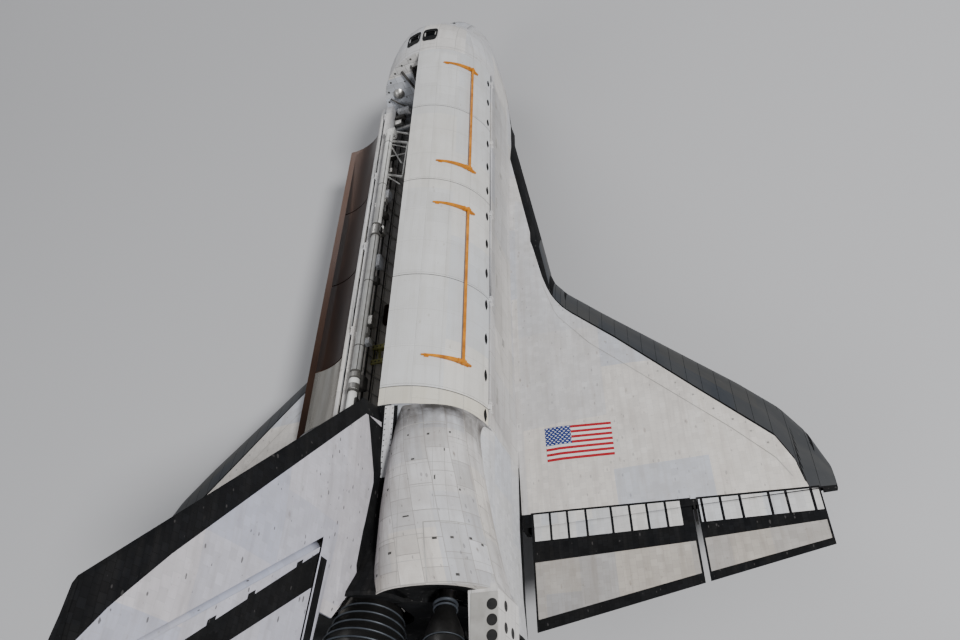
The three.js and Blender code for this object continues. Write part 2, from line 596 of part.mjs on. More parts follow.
// The base shield has an opening for each engine, the lower two with raised collars.
const plateOf = (ring, count, trim) =>
  tube(
    [
      { ...ring, station: BASE_STATION + FIT + trim },
      { ...ring, station: BASE_STATION + BASE_THICK - trim },
    ],
    0,
    count,
  );
const COLLAR = { y: 1440, z: -1070, base: 1284, lip: 1182, bore: 1123, rear: BASE_STATION + 400 };
const UPPER_HOLE = { low: 1480, high: 2240, radius: 960 };
let baseShield = joined(plateOf(aftSections.at(-1), 28, 0), plateOf(humpSections.at(-1), 20, 3));
const throughBase = (y, z, radius) =>
  bar([-BASE_STATION + 100, y, z], [-COLLAR.rear - 50, y, z], radius, radius, 20);
for (const { sign } of SIDES) {
  const y = sign * COLLAR.y;
  baseShield = baseShield
    .add(bar([-BASE_STATION - FIT, y, COLLAR.z], [-COLLAR.rear, y, COLLAR.z], COLLAR.base, COLLAR.lip, 20))
    .subtract(bar([-BASE_STATION - 60, y, COLLAR.z], [-COLLAR.rear - 50, y, COLLAR.z], COLLAR.bore, COLLAR.bore, 20));
}
for (const { sign } of SIDES) baseShield = baseShield.subtract(throughBase(sign * COLLAR.y, COLLAR.z, 905));
const upperHole = joined(
  throughBase(0, UPPER_HOLE.low, UPPER_HOLE.radius),
  throughBase(0, UPPER_HOLE.high, UPPER_HOLE.radius),
  block(
    [-COLLAR.rear - 50, -BASE_STATION + 100],
    [-UPPER_HOLE.radius, UPPER_HOLE.radius],
    [UPPER_HOLE.low, UPPER_HOLE.high],
  ),
);
place(airframe, "aft_fuselage", joined(aftSkin, ...thrustFrame, ...aftPads), whiteTile);

// Body flap under the engines, hung on lugs behind the base.
const FLAP = { hinge: 32925, z: -2995, radius: 190, half: 2850, trailing: 34976, trailingZ: -3130 };
const roundNose = (station, z, radius) =>
  Array.from({ length: 9 }, (_, i) => {
    const turn = -Math.PI / 2 + (Math.PI * i) / 8;
    return [-station + radius * Math.cos(turn), z + radius * Math.sin(turn)];
  });
const flapOutline = [
  ...roundNose(FLAP.hinge, FLAP.z, FLAP.radius),
  [-FLAP.trailing, FLAP.trailingZ + 25],
  [-FLAP.trailing, FLAP.trailingZ - 25],
];
const flapBody = hinged(airframe, "pivot_body_flap", [-FLAP.hinge, 0, FLAP.z]);
const flapAt = (y) => flapOutline.map(([x, z]) => [x, y, z]);
place(flapBody, "body_flap", loft([flapAt(-FLAP.half), flapAt(FLAP.half)]), blackTile);
const flapClear = bore([-FLAP.hinge, -3000, FLAP.z], [-FLAP.hinge, 3000, FLAP.z], FLAP.radius, FLAP.radius, 32);
const flapLugs = [-2300, -800, 800, 2300].map((y) =>
  block([-FLAP.hinge + 120, -BASE_STATION - FIT], [y - 45, y + 45], [FLAP.z - 110, FLAP.z + 130]).subtract(flapClear),
);
place(airframe, "base_heat_shield", joined(baseShield.subtract(upperHole), ...flapLugs), blackTile);

// Wings. Each section runs from the leading edge back to the hinge line of the elevons.
const hingeZ = (y) => -3010 + DIHEDRAL * (y - HALF_WIDTH);
const hingeHalf = (y) => 285 - 0.0195 * (y - HALF_WIDTH);
const leadingStation = (y) =>
  y < CRANK_Y ? WING_APEX_STATION + CRANK_Y - STRAKE_SLOPE * (CRANK_Y - y) : WING_APEX_STATION + y;
const trailingStation = (y) => TRAILING_APEX_STATION - TRAILING_SLOPE * y;
const edgeZ = (y) => -3010 + 0.045 * (y - HALF_WIDTH);

const WING_SECTIONS = [
  // y, leading edge's offset, greatest rise above the edge, greatest drop below it
  [HALF_WIDTH + FIT, 0, 1020, 370],
  [3150, 0, 960, 365],
  [3700, 0, 890, 355],
  [4150, 150, 850, 345],
  [4700, -60, 800, 330],
  [6000, 0, 680, 290],
  [8000, 0, 520, 240],
  [10000, 0, 370, 180],
  [11000, 120, 300, 150],
  [11550, 520, 250, 120],
  [HALF_SPAN, 1300, 190, 90],
].map(row(["y", "offset", "rise", "drop"]));

const CHORD_STEPS = [0.004, 0.02, 0.06, 0.14, 0.28, 0.5, 0.72, 0.88];
function wingRing({ y, offset, rise, drop }, coveRear) {
  const lead = leadingStation(y) + offset;
  const chord = coveRear - lead;
  const share = (t) => Math.sqrt(t) * 1.62 * (1 - t) + t * t * (3 - 2 * t) * 0;
  const climb = (t) => Math.min(1, share(t) / 0.623);
  const line = (t) => edgeZ(y) + (hingeZ(y) - edgeZ(y)) * t;
  const back = hingeHalf(y);
  const top = (t) => line(t) + rise * climb(t) + back * t;
  const low = (t) => line(t) - drop * climb(t) ** 0.6 * (1 - t) - back * t;
  const upper = CHORD_STEPS.map((t) => [-(lead + chord * t), y, top(t)]);
  const lower = CHORD_STEPS.map((t) => [-(lead + chord * t), y, low(t)]);
  return [[-lead, y, edgeZ(y)], ...upper, [-coveRear, y, top(1)], [-coveRear, y, low(1)], ...lower.reverse()];
}
const WING_REAR = ELEVON_HINGE_STATION;
const wingLoft = loft(WING_SECTIONS.map((s) => wingRing(s, WING_REAR)));

// Elevons: two flaps a side, with round noses that turn in a hollow at the wing's back.
const ELEVONS = [
  // name, inner y, outer y
  ["inboard_elevon", 2960, 7925],
  ["outboard_elevon", 8075, 11450],
].map(row(["name", "inner", "outer"]));
const COVE_GAP = 22;
const hingeLine = (y) => [-ELEVON_HINGE_STATION, y, hingeZ(y)];
// A cone about the hinge line. Its radius follows the wing's thickness there.
const hingeRound = (inner, outer, grow, sides) =>
  bar(hingeLine(inner), hingeLine(outer), hingeHalf(inner) + grow, hingeHalf(outer) + grow, sides);
function elevonSolid(inner, outer) {
  const ring = (y) => {
    const [z, radius] = [hingeZ(y), hingeHalf(y) - 1];
    return [
      [-ELEVON_HINGE_STATION, y, z - radius],
      [-ELEVON_HINGE_STATION, y, z + radius],
      [-trailingStation(y), y, z + 20],
      [-trailingStation(y), y, z - 20],
    ];
  };
  return loft([ring(inner), ring(outer)]).add(hingeRound(inner, outer, 0, 24));
}
// The hollow keeps clear of the elevons, but for ribs that carry their hinges and end short of their swing.
const ribRear = (y) => ELEVON_HINGE_STATION - 0.58 * hingeHalf(y) - 12;
const ribs = ELEVONS.flatMap(({ inner, outer }) =>
  [0.15, 0.85].map((t) => {
    const y = inner + (outer - inner) * t;
    return block([-ribRear(y), -28600], [y - 45, y + 45], [-3600, -1800]);
  }),
);
const [coveInner, coveOuter] = [HALF_WIDTH + 150, 11520];
const coveCutter = hingeRound(coveInner, coveOuter, COVE_GAP, 20)
  .subtract(joined(...ribs))
  .add(bore(hingeLine(coveInner + 20), hingeLine(coveOuter - 20), hingeHalf(coveInner + 20), hingeHalf(coveOuter - 20), 24));
const elevonAxis = new THREE.Vector3(0, 1, DIHEDRAL).normalize();

// The wheel well opens downwards in the thick root of the wing, ahead of the leg.
const MAIN_WELL = { front: 20900, rear: 24150, inner: 2800, outer: 4350, roof: -2500 };
const mainWell = block([-MAIN_WELL.rear, -MAIN_WELL.front], [MAIN_WELL.inner, MAIN_WELL.outer], [-4200, MAIN_WELL.roof]);

// The leading edge is a separate strip of grey panels, cut off along a line behind the edge.
const edgeStart = 3300;
const edgeLine = [edgeStart, 3700, 4150, 4700, 6000, 8000, 10000, 11000, 11550, HALF_SPAN + 60];
function edgeRegion(grow) {
  const offsetAt = (y) => {
    const after = WING_SECTIONS.findIndex((s) => s.y >= y);
    if (after <= 0) return after < 0 ? 1400 : 0;
    const [a, b] = [WING_SECTIONS[after - 1], WING_SECTIONS[after]];
    return a.offset + ((b.offset - a.offset) * (y - a.y)) / (b.y - a.y);
  };
  const depthAt = (y) => (y < CRANK_Y ? 900 : EDGE_DEPTH + 120);
  const behind = edgeLine.map((y) => [
    -(leadingStation(Math.min(y, HALF_SPAN)) + offsetAt(y) + depthAt(y) + grow),
    y - (y === edgeStart ? grow : 0),
  ]);
  const outline = [...behind, [-17000, HALF_SPAN + 60], [-9000, 8000], [-9000, edgeStart - grow]];
  const basis = new THREE.Matrix4().makeBasis(axis.x, axis.y, axis.z);
  return slab(outline, 3000, basis, [0, 0, -4500]);
}

for (const { side, sign } of SIDES) {
  const panel = wingLoft.subtract(coveCutter).subtract(mainWell).subtract(edgeRegion(FIT));
  place(airframe, `${side}_wing`, onSide(panel, sign), whiteBlanket);
  place(airframe, `${side}_leading_edge`, onSide(wingLoft.intersect(edgeRegion(0)), sign), greyCarbon);
  for (const { name, inner, outer } of ELEVONS) {
    const y = sign * inner;
    const body = hinged(airframe, `pivot_${side}_${name}`, [-ELEVON_HINGE_STATION, y, hingeZ(inner)]);
    body.parent.userData.axis = [elevonAxis.x, sign * elevonAxis.y, elevonAxis.z];
    place(body, `${side}_${name}`, onSide(elevonSolid(inner, outer), sign), whiteTile);
  }
}

// Engine pods on the shoulders of the aft fuselage.
const podSections = [
  // station, centre, half, top, bottom, mid
  [27330, 1560, 420, 2350, 1250, 1800],
  [27520, 1560, 760, 2720, 1050, 1800],
  [27900, 1560, 1010, 2980, 900, 1800],
  [28700, 1570, 1180, 3200, 780, 1820],
  [30200, 1640, 1300, 3380, 700, 1860],
  [31700, 1760, 1420, 3460, 640, 1900],
  [32680, 1850, 1510, 3455, 625, 1915],
].map(([station, centre, half, top, bottom, mid]) => ({
  station,
  centre,
  half,
  top,
  bottom,
  mid,
  arch: 2.3,
  square: 2.6,
}));
const aftSolid = tube(
  [
    ...aftSections.map((s) => ({ ...s, half: s.half + FIT, top: s.top + FIT })),
    { ...aftSections.at(-1), station: BASE_STATION + BASE_THICK + 12, half: 2870, top: 2552 },
  ],
  0,
);
const engineClearance = block([-33200, -BASE_STATION], [-100, 1430], [-1000, 4500]);
const podInner = block([-34000, -27000], [-100, 320], [-1000, 5000]);
const humpGrown = humpSections.map((s) => ({ ...s, half: s.half + FIT, top: s.top + FIT }));
const humpClear = tube([...humpGrown, { ...humpGrown.at(-1), station: BASE_STATION + BASE_THICK + 12 }], 0, 20);
const OMS = { station: 32563, y: 2235, z: 2337, pitch: 15.8, yaw: 6.5, exit: 577, length: 1900 };
const thrusterBox = loft(
  [
    [32000, 2950, 3300, 1500, 2500],
    [32700, 2950, 3680, 1250, 2780],
    [34250, 3020, 3680, 1250, 2780],
  ].map(([station, y0, y1, z0, z1]) => [
    [-station, y0, z0],
    [-station, y1, z0],
    [-station, y1, z1],
    [-station, y0, z1],
  ]),
);
const omsPocket = bar([-32450, 2235, 2310], [-33400, 2330, 2580], 620, 700, 24);
const omsGimbal = new THREE.Vector3(-OMS.station, OMS.y, OMS.z);
const omsForward = axis.x.clone().applyQuaternion(aimedQuaternion(OMS.pitch, OMS.yaw));
const omsMount = bar(
  omsGimbal.clone().addScaledVector(omsForward, 220).toArray(),
  omsGimbal.clone().addScaledVector(omsForward, FIT).toArray(),
  260,
  170,
);
const podHull = tube(podSections, 0, 22)
  .add(thrusterBox)
  .subtract(podInner)
  .subtract(engineClearance)
  .subtract(omsPocket)
  .add(omsMount);
function orbitalEngine() {
  const profile = [
    [0, 0],
    [220, 0],
    [240, 480],
    [430, 980],
    [OMS.exit, OMS.length],
    [OMS.exit - 35, OMS.length],
    [395, 980],
    [0, 560],
  ];
  const lathe = new THREE.LatheGeometry(
    profile.map(([r, d]) => new THREE.Vector2(r, d)),
    16,
  );
  return solid(lathe.rotateZ(Math.PI / 2));
}
for (const { side, sign } of SIDES) {
  const pod = onSide(podHull, sign).subtract(aftSolid).subtract(humpClear);
  place(airframe, `${side}_engine_pod`, pod, whiteBlanket);
  const aimed = new THREE.Group();
  aimed.name = `aim_${side}_orbital_engine`;
  aimed.position.set(-OMS.station, sign * OMS.y, OMS.z);
  aimed.quaternion.copy(aimedQuaternion(OMS.pitch, sign * OMS.yaw));
  airframe.add(aimed);
  place(aimed, `${side}_orbital_engine`, orbitalEngine(), bareMetal);
}

// Fin: a leading wedge and a trailing wedge that meet along the rudder's hinge line.
const finLead = (z) =>
  Math.max(FIN_LEADING_STATION + (z - FIN_ROOT_Z), BAY_REAR + 15 + 0.12 * Math.max(0, z - FIN_ROOT_Z));
const finTrail = (z) => FIN_TRAILING_STATION + FIN_TRAILING_SLOPE * (z - FIN_ROOT_Z);
const rudderHinge = (z) =>
  finTrail(RUDDER_BOTTOM_Z) - RUDDER_ROOT_CHORD + RUDDER_HINGE_SLOPE * (z - RUDDER_BOTTOM_Z);
const finHalf = (z) => FIN_WEDGE * (finTrail(z) - rudderHinge(z));
const FIN_BLUNT = 45;
const CHUTE_TOP_Z = 4200;
function finRing(z) {
  const [lead, hinge, half] = [finLead(z), rudderHinge(z), finHalf(z)];
  const trail = z <= CHUTE_TOP_Z ? FIN_TRAILING_STATION : finTrail(z);
  const crest = half + 20;
  const right = [
    [lead, 0],
    [lead + 60, FIN_BLUNT],
    [lead + 500, crest * 0.55],
    [lead + (hinge - lead) * 0.62, crest * 1.02],
    [hinge, half],
    [trail, 22],
  ];
  const left = right
    .slice(1)
    .reverse()
    .map(([s, y]) => [s, -y]);
  return [...right, ...left].map(([s, y]) => [-s, y, z]);
}
const finLoft = loft(
  [FIN_ROOT_Z - 200, FIN_ROOT_Z, 3500, CHUTE_TOP_Z, CHUTE_TOP_Z + 160, RUDDER_BOTTOM_Z, RUDDER_TOP_Z, FIN_TOP_Z].map(
    finRing,
  ),
);
const hingePoint = (z) => [-rudderHinge(z), 0, z];
const [hingeLow, hingeHigh] = [RUDDER_BOTTOM_Z - 250, RUDDER_TOP_Z + 250];
const hingeCone = (grow) =>
  bar(hingePoint(hingeLow), hingePoint(hingeHigh), finHalf(hingeLow) + grow, finHalf(hingeHigh) + grow, 28);
// The fin stops a little short of the hinge line, which leaves the panels room to swing wide.
const finLip = (z) => 0.98 * finHalf(z) + 14;
const behindHinge = (gap, ahead = () => 0) => {
  const outline = [
    [-rudderHinge(RUDDER_BOTTOM_Z - gap) + ahead(RUDDER_BOTTOM_Z), RUDDER_BOTTOM_Z - gap],
    [-rudderHinge(RUDDER_TOP_Z + gap) + ahead(RUDDER_TOP_Z), RUDDER_TOP_Z + gap],
    [-finTrail(RUDDER_TOP_Z) - 900, RUDDER_TOP_Z + gap],
    [-finTrail(RUDDER_BOTTOM_Z) - 900, RUDDER_BOTTOM_Z - gap],
  ];
  const upright = new THREE.Matrix4().makeBasis(axis.x, axis.z, new THREE.Vector3(0, -1, 0));
  return slab(outline, 1600, upright, [0, 800, 0]);
};
const hingeWindow = block([-40000, -26000], [-900, 900], [RUDDER_BOTTOM_Z - 135, RUDDER_TOP_Z + 112]);
const SHAFT = { radius: 60, sides: 16, into: 170 };
const shaftEnds = (into) => [hingePoint(RUDDER_BOTTOM_Z - into), hingePoint(RUDDER_TOP_Z + into)];
const shaftBore = bore(...shaftEnds(SHAFT.into + 5), SHAFT.radius, SHAFT.radius, SHAFT.sides);
// Room for the upper engine's bell at the top of its travel.
const BELL_ROOM = [
  [-BASE_STATION + 10, 2000],
  [-BASE_STATION + 10, 3120],
  [-33500, 3850],
  [-36000, 3850],
  [-36000, 2000],
];
const UPRIGHT = new THREE.Matrix4().makeBasis(axis.x, axis.z, new THREE.Vector3(0, -1, 0));
const fin = finLoft
  .subtract(aftSolid)
  .subtract(humpClear)
  .subtract(slab(BELL_ROOM, 2600, UPRIGHT, [0, 1300, 0]))
  .subtract(behindHinge(60, finLip))
  .subtract(hingeCone(30).intersect(hingeWindow))
  .subtract(shaftBore);
place(airframe, "fin", fin, whiteTile);

// Rudder: a shaft on the hinge line carries two panels, which swing together, and apart as a speed brake.
const shaft = bar(...shaftEnds(SHAFT.into), SHAFT.radius, SHAFT.radius, SHAFT.sides);
const hingeAxis = new THREE.Vector3(-RUDDER_HINGE_SLOPE, 0, 1).normalize();
const rudderMiddle = hingePoint((RUDDER_BOTTOM_Z + RUDDER_TOP_Z) / 2);
const rudderBody = hinged(airframe, "pivot_rudder", rudderMiddle);
rudderBody.parent.userData.axis = hingeAxis.toArray();
place(rudderBody, "rudder_shaft", shaft, bareMetal);
const halfSpace = block([-40000, -26000], [8, 900], [4000, 11000]);
const rudderPanel = finLoft.intersect(behindHinge(0)).intersect(halfSpace).subtract(shaftBore);
for (const { side, sign } of SIDES) {
  const body = hinged(rudderBody, `pivot_${side}_speed_brake`, rudderMiddle);
  body.parent.userData.axis = hingeAxis.toArray();
  place(body, `${side}_rudder_panel`, onSide(rudderPanel, sign), whiteTile);
}

// Landing gear. The legs stand upright on level ground, so each hangs in a group that undoes the lean.
const TYRES = {
  nose: { radius: 406, width: 224, rim: 215, spacing: 560 },
  main: { radius: 565, width: 406, rim: 290, spacing: 860 },
};
const WHEEL_SIDES = 20;

// A flat of the tyre, rather than a corner, rests on the ground.
const wheelLathe = (profile) =>
  solid(
    new THREE.LatheGeometry(
      profile.map(([r, h]) => new THREE.Vector2(r, h)),
      WHEEL_SIDES,
    ).rotateY(Math.PI / WHEEL_SIDES),
  );
function tyreSolid({ radius, width, rim }) {
  const half = width / 2;
  const side = [
    [rim, half * 0.72],
    [radius * 0.84, half],
    [radius, half * 0.5],
  ];
  return wheelLathe([...side.map(([r, h]) => [r, -h]), ...side.reverse(), [rim, -half * 0.72]]);
}
function hubSolid({ width, rim, spacing }, axleRadius) {
  // One lathe outline down the axle: dished hub, axle, dished hub.
  const [inner, outer] = [spacing / 2 - width * 0.34, spacing / 2 + width * 0.34];
  const edge = rim - FIT;
  const half = [
    [axleRadius, inner],
    [edge, inner],
    [edge, outer],
    [rim * 0.5, outer - width * 0.12],
    [0, outer - width * 0.12],
  ];
  return wheelLathe([
    ...half
      .slice()
      .reverse()
      .map(([r, h]) => [r, -h]),
    ...half,
  ]);
}
const flatContact = (radius) => radius * Math.cos(Math.PI / WHEEL_SIDES);

// Adds a pair of wheels on one axle to a group whose origin is the axle's middle.
function wheelPair(parent, name, size, axleRadius) {
  const rolling = new THREE.Group();
  rolling.name = `pivot_${name}_wheels`;
  parent.add(rolling);
  place(rolling, `${name}_wheel_hubs`, hubSolid(size, axleRadius), bareMetal);
  for (const { side, sign } of SIDES) {
    place(rolling, `${name}_tyre_${side}`, tyreSolid(size).translate([0, (sign * size.spacing) / 2, 0]), rubber);
  }
}

// A leg group's origin is its axle's middle, and its axes are the ground's.
function uprightGroup(station, y, z) {
  const upright = new THREE.Group();
  upright.position.set(-station, y, z);
  upright.rotation.y = -PARKED_LEAN;
  airframe.add(upright);
  return upright;
}

// A shape of the airframe, as it lies in an upright group's axes.
const inUpright = (shape, station, y, z) =>
  shape.translate([station, -y, -z]).rotate([0, THREE.MathUtils.radToDeg(PARKED_LEAN), 0]);
const AXLE = { nose: 55, main: 80 };
const noseContactZ = MAIN_CONTACT_Z + (MAIN_GEAR_STATION - NOSE_GEAR_STATION) * Math.tan(PARKED_LEAN);
const mainAxleZ = MAIN_CONTACT_Z + flatContact(TYRES.main.radius) / Math.cos(PARKED_LEAN);
const noseAxleZ = noseContactZ + flatContact(TYRES.nose.radius) / Math.cos(PARKED_LEAN);

// Nose leg: a fixed cylinder with a drag brace, and a piston below it that steers.
const noseLeg = uprightGroup(NOSE_GEAR_STATION, 0, noseAxleZ);
const NOSE_LEG = { cylinderFoot: 900, cylinderRadius: 115, pistonRadius: 72 };
const noseRoof = NOSE_WELL.roof - noseAxleZ;
const aboveNoseWell = inUpright(
  block([-6000, 0], [-2000, 2000], [NOSE_WELL.roof - FIT, 0]),
  NOSE_GEAR_STATION,
  0,
  noseAxleZ,
);
const noseCylinder = joined(
  bar([0, 0, NOSE_LEG.cylinderFoot], [0, 0, noseRoof + 100], NOSE_LEG.cylinderRadius),
  bar([0, -460, noseRoof - 330], [0, 460, noseRoof - 330], 70),
  bar([30, 150, NOSE_LEG.cylinderFoot + 250], [900, 150, noseRoof - 70], 42, 42, 12),
  bar([30, -150, NOSE_LEG.cylinderFoot + 250], [900, -150, noseRoof - 70], 42, 42, 12),
  bar([30, -170, NOSE_LEG.cylinderFoot + 250], [30, 170, NOSE_LEG.cylinderFoot + 250], 50, 50, 12),
  block([860, 950], [-420, 420], [noseRoof - 140, noseRoof + 100]),
);
const pistonSleeve = bore(
  [0, 0, NOSE_LEG.cylinderFoot - 10],
  [0, 0, NOSE_LEG.cylinderFoot + 480],
  NOSE_LEG.pistonRadius,
);
const noseCasing = noseCylinder.subtract(pistonSleeve).subtract(aboveNoseWell);
place(noseLeg, "nose_gear_cylinder", noseCasing, whiteTile);
const steering = new THREE.Group();
steering.name = "pivot_nose_steering";
noseLeg.add(steering);
// The axle is part of the turning wheels, so its bore clears their facets.
const axleBore = (radius, half) => bar([0, -half, 0], [0, half, 0], boreRadius(radius, 20), boreRadius(radius, 20), 20);
const noseKnuckle = bar([0, -110, 0], [0, 110, 0], 105).subtract(axleBore(AXLE.nose, 120));
const nosePiston = joined(
  bar([0, 0, 80], [0, 0, NOSE_LEG.cylinderFoot + 460], NOSE_LEG.pistonRadius),
  noseKnuckle,
  block([-330, -40], [-45, 45], [180, 260]),
  bar([-290, 0, 210], [-190, 0, 520], 32, 32, 10),
  bar([-200, 0, 500], [-20, 0, 720], 32, 32, 10),
);
place(steering, "nose_gear_piston", nosePiston, bareMetal);
wheelPair(steering, "nose", TYRES.nose, AXLE.nose);

// Main legs: a cylinder and piston in one, a drag brace ahead and a side brace inboard.
for (const { side, sign } of SIDES) {
  const leg = uprightGroup(MAIN_GEAR_STATION, sign * MAIN_GEAR_Y, mainAxleZ);
  const roof = MAIN_WELL.roof - mainAxleZ;
  const knuckle = bar([0, -190, 0], [0, 190, 0], 150).subtract(axleBore(AXLE.main, 200));
  const parts = joined(
    bar([0, 0, 130], [0, 0, 1150], 95),
    bar([0, 0, 1100], [0, 0, roof + 150], 150),
    knuckle,
    bar([0, -600, roof - 260], [0, 800, roof - 260], 90),
    bar([60, 0, 1350], [1700, 0, roof - 90], 62, 62, 12),
    block([1600, 1760], [-300, 300], [roof - 170, roof + 200]),
  );
  const aboveWell = inUpright(
    block([-26000, -20000], [0, 6000], [MAIN_WELL.roof - FIT, 0]),
    MAIN_GEAR_STATION,
    MAIN_GEAR_Y,
    mainAxleZ,
  );
  place(leg, `${side}_main_gear_leg`, onSide(parts.subtract(aboveWell), sign), whiteTile);
  wheelPair(leg, `${side}_main`, TYRES.main, AXLE.main);
}

// Gear doors hang open from the outboard edges of the wells.
const DOOR_THICK = 60;
for (const { side, sign } of SIDES) {
  const noseDoor = block(
    [-NOSE_WELL.rear + 10, -NOSE_WELL.front - 250],
    [NOSE_WELL.half - DOOR_THICK - FIT, NOSE_WELL.half - FIT],
    [-3480, -2880],
  );
  place(airframe, `nose_gear_door_${side}`, onSide(noseDoor, sign), blackTile);
  const mainDoor = block(
    [-MAIN_WELL.rear + 20, -MAIN_WELL.front - 20],
    [MAIN_WELL.outer - DOOR_THICK - FIT, MAIN_WELL.outer - FIT],
    [-4700, -3150],
  );
  place(airframe, `main_gear_door_${side}`, onSide(mainDoor, sign), blackTile);
}

// The origin is on the ground, below the middle of the whole vehicle.
orbiter.updateMatrixWorld(true);
const bounds = new THREE.Box3().setFromObject(airframe, true);
const middle = bounds.getCenter(new THREE.Vector3());
airframe.position.set(-middle.x, -middle.y, -bounds.min.z);

export default orbiter;
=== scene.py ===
# %% [markdown]
# # A winged spaceplane, parked on its wheels
# The vehicle is 37 metres long. Its skin is made of white quilted blankets, white tiles, black tiles and
# grey carbon, and almost everything that the eye reads as shape is one of these skins meeting another. The
# exact solids come from the CAD frame. This lesson lays finer surfaces over them, paints them with
# procedural materials, and lights them softly.

import json
import math

import bmesh
import bpy
import numpy as np
from mathutils import Matrix, Vector

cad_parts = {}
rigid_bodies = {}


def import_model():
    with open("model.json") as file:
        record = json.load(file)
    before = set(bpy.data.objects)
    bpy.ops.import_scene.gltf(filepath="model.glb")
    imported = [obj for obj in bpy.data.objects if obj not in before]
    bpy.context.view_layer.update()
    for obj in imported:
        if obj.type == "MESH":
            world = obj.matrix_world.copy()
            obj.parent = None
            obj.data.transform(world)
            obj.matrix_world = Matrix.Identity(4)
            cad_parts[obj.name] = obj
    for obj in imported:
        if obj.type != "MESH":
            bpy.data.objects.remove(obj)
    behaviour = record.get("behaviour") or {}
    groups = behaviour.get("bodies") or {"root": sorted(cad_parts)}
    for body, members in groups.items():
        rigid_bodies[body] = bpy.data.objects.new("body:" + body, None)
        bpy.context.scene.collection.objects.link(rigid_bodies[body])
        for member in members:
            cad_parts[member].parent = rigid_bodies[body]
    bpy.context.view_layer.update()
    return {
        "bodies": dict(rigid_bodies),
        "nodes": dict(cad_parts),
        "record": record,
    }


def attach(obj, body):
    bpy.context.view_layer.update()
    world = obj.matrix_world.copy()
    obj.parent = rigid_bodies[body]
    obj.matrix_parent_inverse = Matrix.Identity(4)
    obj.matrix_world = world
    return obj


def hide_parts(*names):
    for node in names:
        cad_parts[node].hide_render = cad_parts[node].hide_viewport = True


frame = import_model()
NODE_BODY = {node: body for body, nodes in frame["record"]["behaviour"]["bodies"].items() for node in nodes}

# %% [markdown]
# ## Two sets of axes
# The drawings of such a vehicle use stations: a distance behind the nose tip, a distance to port and a
# height over the payload bay's centre line, in millimetres. The frame is in metres and the vehicle leans
# three degrees nose down on its wheels. One function carries whole arrays of points from the first set to
# the second, so every surface below can be written in the drawings' own numbers.

# %% From stations to the frame
LEAN = math.radians(3)
FRAME_ORIGIN = np.array([18.36180756838, 0.0, 4.76751477406])


def to_row(points):
    """Station, port and height in mm to frame metres: x is minus the station, and all turns by the lean."""
    points = np.asarray(points, float) / 1000
    forward = -points[..., 0]
    height = points[..., 2]
    across = points[..., 1]
    turned = [forward * math.cos(LEAN) + height * math.sin(LEAN), across,
              height * math.cos(LEAN) - forward * math.sin(LEAN)]
    return np.stack(turned, -1) + FRAME_ORIGIN


print("nose tip", to_row([0, 0, -1530]))

# %% [markdown]
# ## Meshes from grids
# A surface that is a function of two numbers becomes a grid of points. The grid's quads are numbered with
# array arithmetic, several grids are poured into one mesh, and points that meet are merged, which also
# closes the poles. Each grid carries its own UV map in metres, so that tiles and seams have their real
# size.

# %% Grids, patches and pieces
MERGE = 0.0004
PIECE_CREASE = 34.0


def patch(points, uv=None, paint=0, flip=False, **fields):
    """One grid of points (rows, columns, 3) in station axes, with its UV in metres, material and fields."""
    points = np.asarray(points, float)
    rows, columns = points.shape[:2]
    index = np.arange(rows * columns).reshape(rows, columns)
    quads = np.stack([index[:-1, :-1], index[1:, :-1], index[1:, 1:], index[:-1, 1:]], -1).reshape(-1, 4)
    if uv is None:
        uv = np.stack([points[..., 0], points[..., 1]], -1) / 1000
    return {"points": points.reshape(-1, 3), "faces": quads[:, ::-1] if flip else quads,
            "uv": np.asarray(uv, float).reshape(-1, 2), "paint": paint,
            "fields": {key: np.broadcast_to(value, (rows, columns)).reshape(-1)
                       for key, value in fields.items()}}


def grid(rows, columns):
    """Two arrays of a grid's two numbers: one that changes from row to row, one that changes along a row."""
    return np.meshgrid(rows, columns, indexing="ij")


def mirrored(patches):
    """The same patches on the other side: y changes sign, and the faces turn round so that they look out."""
    return [dict(p, points=p["points"] * [1, -1, 1], faces=p["faces"][:, ::-1]) for p in patches]


def linked(name, data):
    """A new object with its data, in the scene."""
    made = bpy.data.objects.new(name, data)
    bpy.context.collection.objects.link(made)
    return made


def finish_mesh(mesh, crease):
    """Smooth shading everywhere, with edges sharper than crease degrees left crisp."""
    mesh.shade_smooth()
    mesh.set_sharp_from_angle(angle=math.radians(crease))


def piece(name, patches, body, materials, slot, nodes=(), merge=MERGE, outward=False):
    """Pours patches into one object that rides on a body and may stand for CAD nodes. Slot is not used."""
    starts = np.cumsum([0] + [len(p["points"]) for p in patches])
    faces = np.concatenate([p["faces"] + start for p, start in zip(patches, starts)])
    points = to_row(np.concatenate([p["points"] for p in patches]))
    uv = np.concatenate([p["uv"] for p in patches])
    mesh = bpy.data.meshes.new(name)
    mesh.from_pydata(points.tolist(), [], faces.tolist())
    mesh.polygons.foreach_set("material_index", np.repeat([p["paint"] for p in patches],
                                                          [len(p["faces"]) for p in patches]))
    mesh.uv_layers.new(name="UVMap").data.foreach_set("uv", uv[faces.reshape(-1)].reshape(-1))
    for key in sorted({key for p in patches for key in p["fields"]}):
        values = [p["fields"].get(key, np.zeros(len(p["points"]))) for p in patches]
        mesh.attributes.new(key, "FLOAT", "POINT").data.foreach_set("value", np.concatenate(values))
    if merge:
        work = bmesh.new()
        work.from_mesh(mesh)
        bmesh.ops.remove_doubles(work, verts=work.verts, dist=merge)
        if outward:
            bmesh.ops.recalc_face_normals(work, faces=work.faces)
        work.to_mesh(mesh)
        work.free()
    finish_mesh(mesh, PIECE_CREASE)
    made = linked(name, mesh)
    for material in materials:
        mesh.materials.append(material)
    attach(made, body)
    if nodes:
        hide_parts(*nodes)
    return made


SIDES = (("starboard", mirrored), ("port", list))


